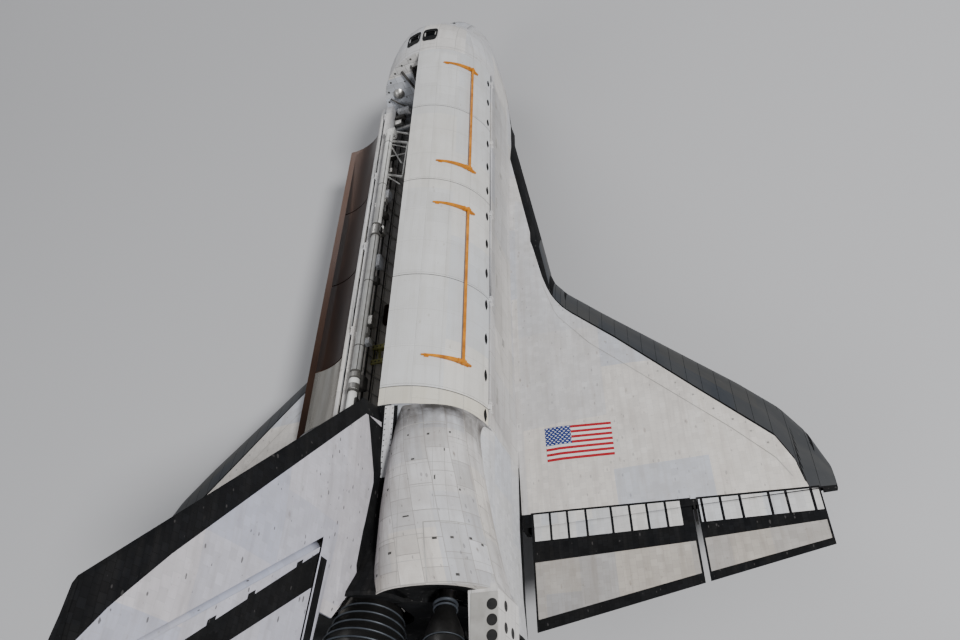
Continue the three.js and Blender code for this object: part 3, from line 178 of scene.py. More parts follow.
def both_sides(name, patches, body, materials, slot, nodes=(), **settings):
    """The same piece to starboard and to port. Nodes, and a body not in the frame, get the side's name."""
    for side, turn_over in SIDES:
        rides = body if body in frame["bodies"] else side + "_" + body
        stands_for = [side + "_" + node for node in nodes]
        piece(side + "_" + name, turn_over(patches), rides, materials, slot, stands_for, **settings)


# %% [markdown]
# ## Smoothed copies
# Some CAD solids already have the right outline and only lack soft shading. Their loose triangles are
# copied and merged, edges sharper than thirty degrees stay crisp, and a small bevel catches the light on
# machined parts. That costs nothing and keeps them exactly where the frame has them.

# %% Copy a CAD node
COPY_MERGE = 0.00005
COPY_CREASE = 30.0
BEVEL_FROM = math.radians(35)


def to_station(points):
    """Frame metres back to station, port and height in mm."""
    moved = (np.asarray(points, float) - FRAME_ORIGIN) * 1000
    forward = moved[..., 0] * math.cos(LEAN) - moved[..., 2] * math.sin(LEAN)
    height = moved[..., 0] * math.sin(LEAN) + moved[..., 2] * math.cos(LEAN)
    return np.stack([-forward, moved[..., 1], height], -1)


def read(mesh, what, field, width):
    """One field of a mesh's vertices, faces or loops as an array."""
    items = getattr(mesh, what)
    values = np.zeros(len(items) * width, np.float32 if width > 1 else np.int32)
    items.foreach_get(field, values)
    return values.reshape(-1, width) if width > 1 else values


def unwrapped(mesh):
    """UV in metres: each corner's place along the two axes that its face spreads along."""
    spots = to_station(read(mesh, "vertices", "co", 3))[read(mesh, "loops", "vertex_index", 1)] / 1000
    totals = read(mesh, "polygons", "loop_total", 1)
    face_of = np.repeat(np.arange(len(totals)), totals)
    facing = np.abs(to_station(read(mesh, "polygons", "normal", 3) + FRAME_ORIGIN))[face_of]
    side = facing[:, 1] >= np.maximum(facing[:, 0], facing[:, 2])
    front = facing[:, 0] > np.maximum(facing[:, 1], facing[:, 2])
    first = np.where(front, spots[:, 1], spots[:, 0])
    second = np.where(side | front, spots[:, 2], spots[:, 1])
    return np.stack([first, second], -1)


def smooth_copy(node, paints, bevel=0.0, cuts=(), zone=None, drop=None):
    """A merged copy of a CAD node with soft shading, its own UV map, and paint zones cut along planes. Faces
    that drop picks are left out, where a finer skin takes their place."""
    mesh = frame["nodes"][node].data.copy()
    mesh.name = node + "_fine"
    work = bmesh.new()
    work.from_mesh(mesh)
    bmesh.ops.remove_doubles(work, verts=work.verts, dist=COPY_MERGE)
    bmesh.ops.dissolve_limit(work, angle_limit=math.radians(0.5), verts=work.verts, edges=work.edges)
    for point, normal in cuts:
        through = to_row(point)
        away = to_row(np.asarray(point) + np.asarray(normal)) - through
        everything = work.verts[:] + work.edges[:] + work.faces[:]
        bmesh.ops.bisect_plane(work, geom=everything, plane_co=Vector(through), plane_no=Vector(away))
    bmesh.ops.triangulate(work, faces=[f for f in work.faces if len(f.verts) > 4])
    if drop:
        middles = to_station([f.calc_center_median() for f in work.faces])
        gone = [f for f, out in zip(work.faces, drop(middles)) if out]
        bmesh.ops.delete(work, geom=gone, context="FACES")
    work.to_mesh(mesh)
    work.free()
    mesh.materials.clear()
    for paint in paints if isinstance(paints, (list, tuple)) else [paints]:
        mesh.materials.append(paint)
    uv = unwrapped(mesh)
    layer = mesh.uv_layers[0] if mesh.uv_layers else mesh.uv_layers.new(name="UVMap")
    layer.data.foreach_set("uv", uv.reshape(-1))
    if zone:
        middle = to_station(read(mesh, "polygons", "center", 3))
        facing = to_station(read(mesh, "polygons", "normal", 3) + FRAME_ORIGIN) / 1000
        mesh.polygons.foreach_set("material_index", np.asarray(zone(middle, facing), np.int32))
    else:
        mesh.polygons.foreach_set("material_index", np.zeros(len(mesh.polygons), np.int32))
    finish_mesh(mesh, COPY_CREASE)
    made = linked(node + "_fine", mesh)
    if bevel:
        rounding = made.modifiers.new("rounded edges", "BEVEL")
        rounding.width = bevel
        rounding.segments = 2
        rounding.limit_method = "ANGLE"
        rounding.angle_limit = BEVEL_FROM
    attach(made, NODE_BODY[node])
    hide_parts(node)
    return made


# %% [markdown]
# ## Shader shorthand
# A material is a tree of nodes. Three small functions keep the trees readable: one adds a node and fills
# its sockets from values or from other nodes, one mixes two colours, and one does arithmetic.

# %% Node helpers
def add(tree, kind, sockets=None, **settings):
    """One node of a kind, with its settings, and its sockets filled by values or links."""
    made = tree.nodes.new(kind)
    for key, value in settings.items():
        setattr(made, key, value)
    for key, value in (sockets or {}).items():
        if isinstance(value, bpy.types.NodeSocket):
            tree.links.new(value, made.inputs[key])
        else:
            made.inputs[key].default_value = value
    return made


def colour(rgb):
    """Three numbers with an alpha of one."""
    return (*rgb, 1.0)


def blend(tree, factor, first, second, how="MIX"):
    """A colour that goes from first to second as factor goes from 0 to 1."""
    first = colour(first) if isinstance(first, tuple) else first
    second = colour(second) if isinstance(second, tuple) else second
    made = add(tree, "ShaderNodeMix", {0: factor, 6: first, 7: second}, data_type="RGBA", blend_type=how)
    return made.outputs[2]


def maths(tree, what, first, second=0.0, third=0.0):
    """Arithmetic on one, two or three numbers."""
    return add(tree, "ShaderNodeMath", {0: first, 1: second, 2: third}, operation=what).outputs[0]


def remap(tree, value, low, high, to_low=0.0, to_high=1.0):
    """A number taken from one range to another, and clamped there."""
    sockets = {0: value, 1: low, 2: high, 3: to_low, 4: to_high}
    return add(tree, "ShaderNodeMapRange", sockets, clamp=True).outputs[0]


def new_material(name):
    """An empty material with its tree and its shader."""
    made = bpy.data.materials.new(name)
    made.use_nodes = True
    return made, made.node_tree, made.node_tree.nodes["Principled BSDF"]


def effect(name, inputs, outputs):
    """An empty node group with named inputs (name, socket kind, value) and outputs (name, socket kind)."""
    tree = bpy.data.node_groups.new(name, "ShaderNodeTree")
    for label, kind, value in inputs:
        socket = tree.interface.new_socket(name=label, in_out="INPUT", socket_type="NodeSocket" + kind)
        if value is not None:
            socket.default_value = value
    for label, kind in outputs:
        tree.interface.new_socket(name=label, in_out="OUTPUT", socket_type="NodeSocket" + kind)
    return tree, tree.nodes.new("NodeGroupInput").outputs, tree.nodes.new("NodeGroupOutput").inputs


# %% [markdown]
# ## Effects that several skins share
# The whole skin is a mosaic. Blankets and tiles are laid in rows, every one has aged to a slightly
# different tone, and the joints between them are thin and darker. One group lays such a mosaic on any
# coordinates and gives back each panel's own tone and the joints. A second group gives what weather leaves:
# blotches, streaks, specks, and the dark chips of cells picked at random. A third gives the stitched
# dimples of a quilted blanket.

# %% Mosaic, weather and quilting groups
MOSAIC, given, result = effect(
    "fitted mosaic",
    [("Vector", "Vector", None), ("Length", "Float", 0.2), ("Width", "Float", 0.2),
     ("Joint", "Float", 0.006)],
    [("Tone", "Float"), ("Joint", "Float")])
bricks = add(MOSAIC, "ShaderNodeTexBrick",
             {"Vector": given["Vector"], "Color1": colour((0, 0, 0)), "Color2": colour((1, 1, 1)),
              "Mortar": colour((0.5, 0.5, 0.5)), "Scale": 1.0, "Mortar Size": given["Joint"],
              "Mortar Smooth": 0.3, "Bias": 0.0, "Brick Width": given["Length"],
              "Row Height": given["Width"]},
             offset=0.5, squash=1.0)
MOSAIC.links.new(bricks.outputs["Color"], result["Tone"])
MOSAIC.links.new(bricks.outputs["Fac"], result["Joint"])

WEATHER, given, result = effect(
    "weather",
    [("Vector", "Vector", None), ("Blotch Size", "Float", 1.0), ("Streak Length", "Float", 3.0)],
    [("Blotch", "Float"), ("Streak", "Float"), ("Speck", "Float"), ("Chip", "Float")])
blotch = add(WEATHER, "ShaderNodeTexNoise",
             {"Vector": given["Vector"], "Scale": maths(WEATHER, "DIVIDE", 1.0, given["Blotch Size"]),
              "Detail": 6.0, "Roughness": 0.62})
WEATHER.links.new(remap(WEATHER, blotch.outputs[0], 0.35, 0.68), result["Blotch"])
stretch = add(WEATHER, "ShaderNodeCombineXYZ",
              {0: maths(WEATHER, "DIVIDE", 1.0, given["Streak Length"]), 1: 4.0, 2: 4.0})
drawn = add(WEATHER, "ShaderNodeVectorMath", {0: given["Vector"], 1: stretch.outputs[0]},
            operation="MULTIPLY")
streak = add(WEATHER, "ShaderNodeTexNoise",
             {"Vector": drawn.outputs[0], "Scale": 1.0, "Detail": 4.0, "Roughness": 0.6})
WEATHER.links.new(remap(WEATHER, streak.outputs[0], 0.48, 0.75), result["Streak"])
speck = add(WEATHER, "ShaderNodeTexNoise",
            {"Vector": given["Vector"], "Scale": 7.0, "Detail": 3.0, "Roughness": 0.7})
squeezed = add(WEATHER, "ShaderNodeVectorMath", {0: given["Vector"], 1: (1.0, 2.1, 1.0)},
               operation="MULTIPLY")
cells = add(WEATHER, "ShaderNodeTexVoronoi",
            {"Vector": squeezed.outputs[0], "Scale": 1.15, "Randomness": 1.0}).outputs
ragged = maths(WEATHER, "MULTIPLY_ADD", speck.outputs[0], 0.22, cells["Distance"])
picked = add(WEATHER, "ShaderNodeSeparateColor", {0: cells["Color"]}).outputs
chosen = maths(WEATHER, "GREATER_THAN", picked[0], 0.5)
mark = maths(WEATHER, "MULTIPLY", chosen, remap(WEATHER, ragged, 0.22, 0.15))
grain = remap(WEATHER, speck.outputs[0], 0.64, 0.70, 0.0, 0.6)
WEATHER.links.new(maths(WEATHER, "MAXIMUM", mark, grain), result["Speck"])
cells = add(WEATHER, "ShaderNodeTexVoronoi",
            {"Vector": squeezed.outputs[0], "Scale": 3.3, "Randomness": 1.0}).outputs
picked = add(WEATHER, "ShaderNodeSeparateColor", {0: cells["Color"]}).outputs
reach = remap(WEATHER, picked[1], 0.0, 1.0, 0.21, 0.37)
uneven = maths(WEATHER, "MULTIPLY_ADD", speck.outputs[0], 0.30, cells["Distance"])
chip = remap(WEATHER, maths(WEATHER, "SUBTRACT", reach, uneven), 0.0, 0.03)
chosen = maths(WEATHER, "GREATER_THAN", picked[0], 0.30)
WEATHER.links.new(maths(WEATHER, "MULTIPLY", chosen, chip), result["Chip"])

QUILT, given, result = effect(
    "quilting", [("Vector", "Vector", None), ("Pitch", "Float", 0.075)], [("Height", "Float")])
scaled = add(QUILT, "ShaderNodeVectorMath",
             {0: given["Vector"], "Scale": maths(QUILT, "DIVIDE", math.pi, given["Pitch"])},
             operation="SCALE")
axes = add(QUILT, "ShaderNodeSeparateXYZ", {0: scaled.outputs[0]})
puff = maths(QUILT, "MULTIPLY", maths(QUILT, "ABSOLUTE", maths(QUILT, "SINE", axes.outputs[0])),
             maths(QUILT, "ABSOLUTE", maths(QUILT, "SINE", axes.outputs[1])))
QUILT.links.new(maths(QUILT, "POWER", puff, 0.4), result["Height"])
print("effects", [tree.name for tree in bpy.data.node_groups])

# %% [markdown]
# ## The skins
# Every skin is the same recipe with its own numbers: a mosaic of panels gives the tone, weather dulls it,
# joints darken it and dent the bump. So one function makes them all, and a skin differs only by its row in
# a table. The pattern follows the UV map, which every piece and every smoothed copy has in metres.

# %% Skin materials
SKINS = {
    # name: colour, tone spread, panel length, panel width, joint, joint colour, joint depth,
    #       large patch length, large patch width, patch spread, dirt colour, dirt, roughness, quilting
    "white_blanket": ((0.62, 0.61, 0.595), 0.10, 0.92, 0.76, 0.008, (0.26, 0.25, 0.23), 0.5,
                      3.1, 1.9, 0.10, (0.30, 0.27, 0.24), 0.55, 0.80, 0.004),
    "white_tile": ((0.61, 0.61, 0.61), 0.10, 0.203, 0.203, 0.004, (0.34, 0.34, 0.34), 0.5,
                   2.4, 1.6, 0.12, (0.32, 0.30, 0.28), 0.50, 0.64, 0.0),
    "wing_white": ((0.61, 0.60, 0.585), 0.08, 0.203, 0.203, 0.003, (0.40, 0.39, 0.38), 0.4,
                   3.7, 2.9, 0.17, (0.30, 0.26, 0.23), 0.60, 0.66, 0.0),
    "panel_white": ((0.60, 0.60, 0.59), 0.08, 0.203, 0.203, 0.003, (0.36, 0.36, 0.35), 0.4,
                    1.1, 0.55, 0.12, (0.30, 0.28, 0.25), 0.55, 0.58, 0.0),
    "door_white": ((0.63, 0.622, 0.59), 0.06, 1.52, 0.80, 0.004, (0.42, 0.41, 0.39), 0.4,
                   4.5, 2.3, 0.13, (0.36, 0.34, 0.30), 0.55, 0.76, 0.003),
    "door_cream": ((0.60, 0.57, 0.49), 0.08, 0.75, 0.80, 0.006, (0.36, 0.34, 0.30), 0.4,
                   4.5, 2.3, 0.05, (0.40, 0.36, 0.28), 0.55, 0.78, 0.003),
    "pod_white": ((0.62, 0.605, 0.585), 0.17, 0.71, 0.62, 0.010, (0.27, 0.25, 0.23), 0.8,
                  1.9, 1.3, 0.13, (0.21, 0.18, 0.155), 0.80, 0.80, 0.004),
    "fin_white": ((0.575, 0.565, 0.60), 0.08, 0.203, 0.203, 0.003, (0.38, 0.37, 0.39), 0.4,
                  3.3, 2.1, 0.27, (0.24, 0.22, 0.215), 0.60, 0.64, 0.0),
    "flap_grey": ((0.42, 0.40, 0.37), 0.10, 0.203, 0.203, 0.003, (0.26, 0.24, 0.22), 0.4,
                  2.6, 1.1, 0.14, (0.20, 0.17, 0.14), 0.7, 0.64, 0.0),
    "black_tile": ((0.0075, 0.008, 0.009), 0.30, 0.152, 0.152, 0.004, (0.004, 0.004, 0.004), 0.6,
                   1.8, 1.2, 0.12, (0.030, 0.028, 0.026), 0.40, 0.62, 0.0),
    "grey_carbon": ((0.052, 0.055, 0.058), 0.12, 9.0, 9.0, 0.0, (0.02, 0.02, 0.02), 0.0,
                    1.3, 0.9, 0.16, (0.085, 0.083, 0.078), 0.5, 0.50, 0.0),
    "bay_liner": ((0.50, 0.51, 0.45), 0.30, 0.80, 0.60, 0.012, (0.09, 0.09, 0.075), 0.9,
                  2.2, 1.7, 0.22, (0.15, 0.15, 0.11), 0.65, 0.62, 0.008),
    "bulkhead_quilt": ((0.68, 0.68, 0.67), 0.22, 0.46, 0.38, 0.010, (0.16, 0.16, 0.15), 0.9,
                       1.1, 0.9, 0.18, (0.22, 0.21, 0.19), 0.6, 0.42, 0.012),
}
SHINE = {"black_tile": 0.06, "grey_carbon": 0.22, "bulkhead_quilt": 0.6}
COOL_TINT = (-0.45, -0.15, 0.55)
WARM_TINT = (0.25, 0.0, -0.30)
CHIPPED = {"fin_white": 0.85, "wing_white": 0.35, "pod_white": 0.45, "white_tile": 0.30, "black_tile": 0.5}
CHIP_COLOUR = (0.085, 0.080, 0.078)
# the colour that the pods' skin goes towards at their front
DARKENING_COLOUR = (0.030, 0.025, 0.021)


def skin(name):
    """A mosaic skin from its row in the table. A large mosaic of cool and warm tones multiplies the small
    one, and each kind of wear then covers the tone by its share."""
    (base, spread, length, width, joint, joint_colour, depth, patch_length, patch_width, patch_spread, dirt,
     dirt_amount, rough, quilt) = SKINS[name]
    made, tree, shader = new_material(name)
    place = add(tree, "ShaderNodeTexCoord").outputs["UV"]
    mosaic = add(tree, "ShaderNodeGroup",
                 {"Vector": place, "Length": length, "Width": width, "Joint": joint},
                 node_tree=MOSAIC)
    weather = add(tree, "ShaderNodeGroup", {"Vector": place}, node_tree=WEATHER)
    darker = tuple(c * (1 - spread) for c in base)
    lighter = tuple(min(1.0, c * (1 + spread * 0.6)) for c in base)
    toned = blend(tree, mosaic.outputs["Tone"], darker, lighter)
    patches = add(tree, "ShaderNodeGroup",
                  {"Vector": place, "Length": patch_length, "Width": patch_width, "Joint": 0.0},
                  node_tree=MOSAIC)
    cool = tuple((1 - patch_spread) * (1 + patch_spread * k) for k in COOL_TINT)
    warm = tuple(1 + patch_spread * k for k in WARM_TINT)
    toned = blend(tree, 1.0, toned, blend(tree, patches.outputs["Tone"], cool, warm), "MULTIPLY")
    wear = [(weather.outputs["Blotch"], dirt_amount * 0.45, dirt),
            (weather.outputs["Streak"], dirt_amount * 0.6, dirt),
            (mosaic.outputs["Joint"], 0.8 if joint else 0.0, joint_colour),
            (weather.outputs["Speck"], min(1.0, dirt_amount), dirt)]
    if name in CHIPPED:
        wear.append((weather.outputs["Chip"], CHIPPED[name], CHIP_COLOUR))
    for mask, share, shade in wear:
        toned = blend(tree, maths(tree, "MULTIPLY", mask, share), toned, shade)
    # pieces with the field below, set only on the pods, go darker towards the pods' front
    front_field = add(tree, "ShaderNodeAttribute", attribute_name="grime").outputs["Fac"]
    darkening_mix = maths(tree, "MULTIPLY", front_field, remap(tree, weather.outputs["Blotch"], 0.1, 0.7, 0.45, 1.0))
    toned = blend(tree, darkening_mix, toned, DARKENING_COLOUR)
    tree.links.new(toned, shader.inputs["Base Color"])
    gloss = remap(tree, weather.outputs["Blotch"], 0.0, 1.0, rough - 0.06, rough + 0.10)
    tree.links.new(gloss, shader.inputs["Roughness"])
    height = maths(tree, "MULTIPLY", mosaic.outputs["Joint"], -0.004 * depth)
    if quilt:
        quilting = add(tree, "ShaderNodeGroup", {"Vector": place}, node_tree=QUILT)
        height = maths(tree, "MULTIPLY_ADD", quilting.outputs["Height"], quilt, height)
    bump = add(tree, "ShaderNodeBump", {"Strength": 0.6, "Distance": 1.0, "Height": height})
    tree.links.new(bump.outputs["Normal"], shader.inputs["Normal"])
    shader.inputs["Specular IOR Level"].default_value = SHINE.get(name, 0.35)
    return made


SKIN = {name: skin(name) for name in SKINS}
print("skins", len(SKIN))

# %% [markdown]
# ## Metals, paint, glass and rubber
# The rest is harder stuff. Machined metal shows fine brushing and a little uneven gloss. Paint chips and
# dulls. The small windows are dark because the cabin behind them is, and tyres are matt black with a grey
# bloom.

# %% Hard materials
HARD = {
    # name: colour, second colour, roughness, metallic, noise scale, stretch along x, bump
    "bare_metal": ((0.46, 0.45, 0.43), (0.33, 0.32, 0.30), 0.36, 0.9, 5.0, 8.0, 0.0005),
    "white_metal": ((0.66, 0.66, 0.64), (0.50, 0.49, 0.46), 0.45, 0.0, 3.0, 1.0, 0.0006),
    "dark_metal": ((0.050, 0.049, 0.048), (0.028, 0.027, 0.026), 0.42, 0.85, 4.0, 1.0, 0.001),
    # radiator_film: the lighter second colour, in broad patches stretched along the station, is painted
    # reflection of the lamps on the film; the stretch also gives the film a streaky grain
    "radiator_film": ((0.026, 0.013, 0.009), (0.058, 0.029, 0.018), 0.32, 0.90, 0.55, 3.0, 0.0004),
    "orange_paint": ((0.58, 0.215, 0.004), (0.33, 0.105, 0.003), 0.42, 0.0, 3.0, 1.0, 0.0006),
    "window_glass": ((0.006, 0.007, 0.009), (0.004, 0.004, 0.005), 0.22, 0.0, 0.6, 1.0, 0.0),
    "seal_black": ((0.035, 0.033, 0.030), (0.07, 0.066, 0.06), 0.7, 0.0, 5.0, 1.0, 0.0),
    "seal_grey": ((0.24, 0.23, 0.21), (0.44, 0.43, 0.41), 0.75, 0.0, 0.8, 1.0, 0.0),
    "silver_film": ((0.62, 0.60, 0.55), (0.34, 0.31, 0.26), 0.22, 0.95, 1.1, 9.0, 0.0006),
    "bell_bands": ((0.050, 0.058, 0.070), (0.030, 0.034, 0.042), 0.45, 0.35, 4.0, 1.0, 0.0005),
    "primer_green": ((0.36, 0.35, 0.12), (0.24, 0.23, 0.08), 0.5, 0.0, 4.0, 1.0, 0.0006),
    # nozzle mouths: their dark throats, and painted shade of the hollows that the flat discs stand for
    "mouth_black_and_shade": ((0.004, 0.004, 0.004), (0.012, 0.011, 0.010), 0.6, 0.0, 5.0, 1.0, 0.0),
    "tyre_rubber": ((0.022, 0.022, 0.023), (0.045, 0.043, 0.041), 0.78, 0.0, 9.0, 1.0, 0.0012),
}


def hard(name):
    """A metal, paint, glass or rubber from its row in the table, uneven by a stretched noise."""
    first, second, rough, metallic, scale, stretched, dent = HARD[name]
    made, tree, shader = new_material(name)
    place = add(tree, "ShaderNodeTexCoord").outputs["Object"]
    drawn = add(tree, "ShaderNodeMapping", {"Vector": place, "Scale": (1 / stretched, 1, 1)})
    noise = add(tree, "ShaderNodeTexNoise",
                {"Vector": drawn.outputs[0], "Scale": scale, "Detail": 5.0, "Roughness": 0.6}).outputs[0]
    mask = remap(tree, noise, 0.35, 0.7)
    tree.links.new(blend(tree, mask, first, second), shader.inputs["Base Color"])
    tree.links.new(remap(tree, noise, 0.3, 0.75, rough - 0.05, rough + 0.12), shader.inputs["Roughness"])
    shader.inputs["Metallic"].default_value = metallic
    if dent:
        bump = add(tree, "ShaderNodeBump", {"Strength": 0.5, "Distance": dent * 10, "Height": noise})
        tree.links.new(bump.outputs["Normal"], shader.inputs["Normal"])
    return made


STUFF = {name: hard(name) for name in HARD}
print("hard materials", sorted(STUFF))

# %% [markdown]
# ## The camera, the floor and the light
# The photograph looks down the vehicle's back from behind the starboard wing with a wide lens. The camera's
# place was worked out from points that the drawings and the picture share. The floor is plain and pale, and
# three large soft lamps stand where a studio would put them.

# %% Camera, floor and lamps
CAMERA_PLACE = Vector((-18.304651, -8.793563, 24.820077))
CAMERA_FORWARD = Vector((0.575201, 0.272861, -0.771162))
CAMERA_UP = Vector((0.817993, -0.198354, 0.539947))
CAMERA_VIEW_ANGLE = 68.631
FLOOR_HALF = 900.0
FLOOR_GREY = (0.46, 0.46, 0.47)
SKY = (0.93, 0.95, 1.0)
SKY_STRENGTH = 0.30

lens = bpy.data.cameras.new("camera")
lens.sensor_fit = "HORIZONTAL"
lens.angle = math.radians(CAMERA_VIEW_ANGLE)
lens.clip_end = 3000
camera = linked("camera", lens)
right = CAMERA_FORWARD.cross(CAMERA_UP).normalized()
above = right.cross(CAMERA_FORWARD).normalized()
turn = Matrix((right, above, -CAMERA_FORWARD)).transposed().to_4x4()
camera.matrix_world = Matrix.Translation(CAMERA_PLACE) @ turn
bpy.context.scene.camera = camera

ground = bpy.data.meshes.new("floor")
corners = [(FLOOR_HALF * a, FLOOR_HALF * b, 0) for a, b in ((-1, -1), (1, -1), (1, 1), (-1, 1))]
ground.from_pydata(corners, [], [(0, 1, 2, 3)])
floor = linked("floor", ground)
floor_paint, tree, shader = new_material("floor")
shader.inputs["Base Color"].default_value = colour(FLOOR_GREY)
shader.inputs["Roughness"].default_value = 0.9
ground.materials.append(floor_paint)

LAMPS = [
    # name, place, target, size, watts
    ("key", (-60.0, -90.0, 105.0), (0.0, 0.0, 5.0), 27.0, 260000.0),
    ("fill", (-85.0, 75.0, 75.0), (0.0, 0.0, 6.0), 70.0, 36000.0),
    ("front", (105.0, 50.0, 72.0), (4.0, 0.0, 4.0), 62.0, 36000.0),
]
for name, place, target, size, watts in LAMPS:
    lamp = bpy.data.lights.new(name, "AREA")
    lamp.shape = "DISK"
    lamp.size = size
    lamp.energy = watts
    holder = linked(name, lamp)
    holder.location = place
    aim = Vector(target) - Vector(place)
    holder.rotation_euler = aim.to_track_quat("-Z", "Y").to_euler()

world = bpy.data.worlds.new("studio")
bpy.context.scene.world = world
world.use_nodes = True
sky = world.node_tree.nodes["Background"]
sky.inputs["Color"].default_value = colour(SKY)
sky.inputs["Strength"].default_value = SKY_STRENGTH
print("camera", list(camera.location))

# %% [markdown]
# ## The wing's upper side
# From above the wing is one calm surface: a broad field of white tiles, a dark rim, and a row of framed
# white panels along the hinge of the flaps. It could be painted on the CAD solid, but a paint border drawn
# by a shader goes soft or jagged in a close view. So the field, the rim and the panels are separate thin
# skins that follow the wing's own formula a few millimetres above the solid, and every border is an edge of
# real geometry.

# %% The wing's formula
HALF_WIDTH = 2670.0
HINGE_STATION = 29235.0
CRANK_Y = 4242.0
ROOT_HEIGHT = -3010.0
EDGE_CLIMB = 0.045
DIHEDRAL = math.tan(math.radians(3.5))
STRAKE_SLOPE = math.tan(math.radians(81))
WING_TABLE = np.array([
    # y, leading edge's offset, greatest rise, greatest drop
    (2670.3, 0, 1020, 370), (3150, 0, 960, 365), (3700, 0, 890, 355), (4150, 150, 850, 345),
    (4700, -60, 800, 330), (6000, 0, 680, 290), (8000, 0, 520, 240), (10000, 0, 370, 180),
    (11000, 120, 300, 150), (11550, 520, 250, 120), (11896, 1300, 190, 90)], float)
STRAIGHT_EDGE = np.where(WING_TABLE[:, 0] < CRANK_Y, 19482 - STRAKE_SLOPE * (CRANK_Y - WING_TABLE[:, 0]),
                         15240 + WING_TABLE[:, 0])
LEAD_KNOTS = STRAIGHT_EDGE + WING_TABLE[:, 1]
RIM_LINE = np.array([
    # y, station of the dark rim's inner line
    (2670, 10300), (3480, 15420), (4150, 19960), (4280, 20440), (4700, 21080), (6363, 22740), (8692, 25319),
    (10645, 27394), (11000, 28200), (11182, 29069), (11230, 29400), (11896, 29400)], float)
WHITE_LINE = np.array([
    # y, station where the white field begins
    (2670, 11640), (2996, 13700), (3356, 15971), (3480, 16760), (3490, 17330), (3577, 17680), (3883, 19296),
    (4030, 19860), (4168, 20237), (4350, 20620), (4579, 20990), (4900, 21370), (6363, 22840), (8692, 25404),
    (10645, 27479), (11000, 28285), (11182, 29154), (11230, 29485), (11896, 29485)], float)


def hinge_height(y):
    """The flaps' hinge line rises outwards with the wing's dihedral."""
    return ROOT_HEIGHT + DIHEDRAL * (y - HALF_WIDTH)


def hinge_half(y):
    """Half the wing's thickness at the hinge, thinner towards the tip."""
    return 285 - 0.0195 * (y - HALF_WIDTH)


def leading_station(y):
    """The strake is swept 81 degrees up to the crank, the wing 45 degrees beyond, straight between ribs."""
    return np.interp(y, WING_TABLE[:, 0], LEAD_KNOTS)


def wing_points(y, t, upper=True, lift=0.0):
    """Points at share t of the chord: a line from edge to hinge, plus a square-root arch above or below."""
    lead = leading_station(y)
    station = lead + (HINGE_STATION - lead) * t
    edge = ROOT_HEIGHT + EDGE_CLIMB * (y - HALF_WIDTH)
    line = edge + (hinge_height(y) - edge) * t
    climb = np.minimum(1, np.sqrt(t) * 1.62 * (1 - t) / 0.623)
    if upper:
        height = line + np.interp(y, WING_TABLE[:, 0], WING_TABLE[:, 2]) * climb + hinge_half(y) * t + lift
    else:
        drop = np.interp(y, WING_TABLE[:, 0], WING_TABLE[:, 3])
        height = line - drop * climb ** 0.6 * (1 - t) - hinge_half(y) * t - lift
    return np.stack([station, y + 0 * station, height], -1)


def share_at(y, station):
    """The share of the chord at a station."""
    lead = leading_station(y)
    return np.clip((station - lead) / (HINGE_STATION - lead), 0, 1)


def rim_station(y):
    """The inner line of the dark rim."""
    return np.minimum(np.interp(y, RIM_LINE[:, 0], RIM_LINE[:, 1]), panel_front(y))


def white_station(y):
    """Where the white field begins."""
    return np.minimum(np.interp(y, WHITE_LINE[:, 0], WHITE_LINE[:, 1]), panel_front(y))


def panel_front(y):
    """The framed panels' front line."""
    return 28748 + 0.0466 * (y - 3022)


def panel_rear(y):
    """The framed panels' rear line."""
    return np.where(y < 8000, 29607 + 0.0194 * (y - 2960), 29679 + 0.0272 * (y - 8075))


def mesh_lines(*breaks, step):
    """Numbers through all the breaks, no further apart than a step."""
    parts = [np.linspace(a, b, max(2, int(math.ceil((b - a) / step)) + 1))[:-1]
             for a, b in zip(breaks, breaks[1:])]
    return np.concatenate(parts + [[breaks[-1]]])


def wing_strip(y_lines, front, rear, rows, lift, paint=0):
    """The upper side between two lines given as functions of y, as a patch."""
    y, share = np.meshgrid(y_lines, np.linspace(0, 1, rows))
    first = share_at(y, front(y))
    last = share_at(y, rear(y))
    points = wing_points(y, first + (last - first) * share, True, lift)
    return patch(points, points[..., :2] / 1000, paint, flip=True)


print("chord at the root", float(HINGE_STATION - leading_station(np.array(2670.3))))

# %% [markdown]
# ## The white field and the dark rim
# The rim is grey carbon made in some twenty moulded panels, each wrapped round the leading edge with a thin
# gap to the next. A profile wraps from the upper border over the edge to the lower side, and the panels are
# cut from it along the span. A narrow row of black tiles parts the rim from the white field.

# %% Field, rim and black row
WING_LINES = np.concatenate([
    mesh_lines(2671.0, 2996.0, 3356.0, 3480.0, 3490.0, 3577.0, 3883.0, 4030.0, 4150.0, step=110.0),
    mesh_lines(4168.0, 4280.0, 4350.0, 4579.0, 4700.0, 4900.0, step=80.0),
    mesh_lines(4900.0, 6363.0, 8692.0, 10645.0, 11000.0, 11182.0, 11229.0, step=240.0)[1:]])
RIM_BELOW = (930.0, 570.0)


def rim_panel(first, last, lift, gap, paint=0):
    """One moulded panel: the share of the chord runs as a square on both sides, so rows crowd at the edge."""
    y_lines = mesh_lines(first + gap, last - gap, step=160.0)
    y, way = np.meshgrid(y_lines, np.linspace(-1, 1, 33))
    upper_end = share_at(y, rim_station(y))
    lower_end = share_at(y, leading_station(y) + np.where(y < CRANK_Y, *RIM_BELOW))
    top = wing_points(y, upper_end * way ** 2, True, lift * np.abs(way))
    under = wing_points(y, lower_end * way ** 2, False, lift * np.abs(way))
    points = np.where((way < 0)[..., None], top, under)
    points[..., 0] -= lift * (1 - np.abs(way))
    return patch(points, np.stack([y / 1000, way * 1.2], -1), paint)


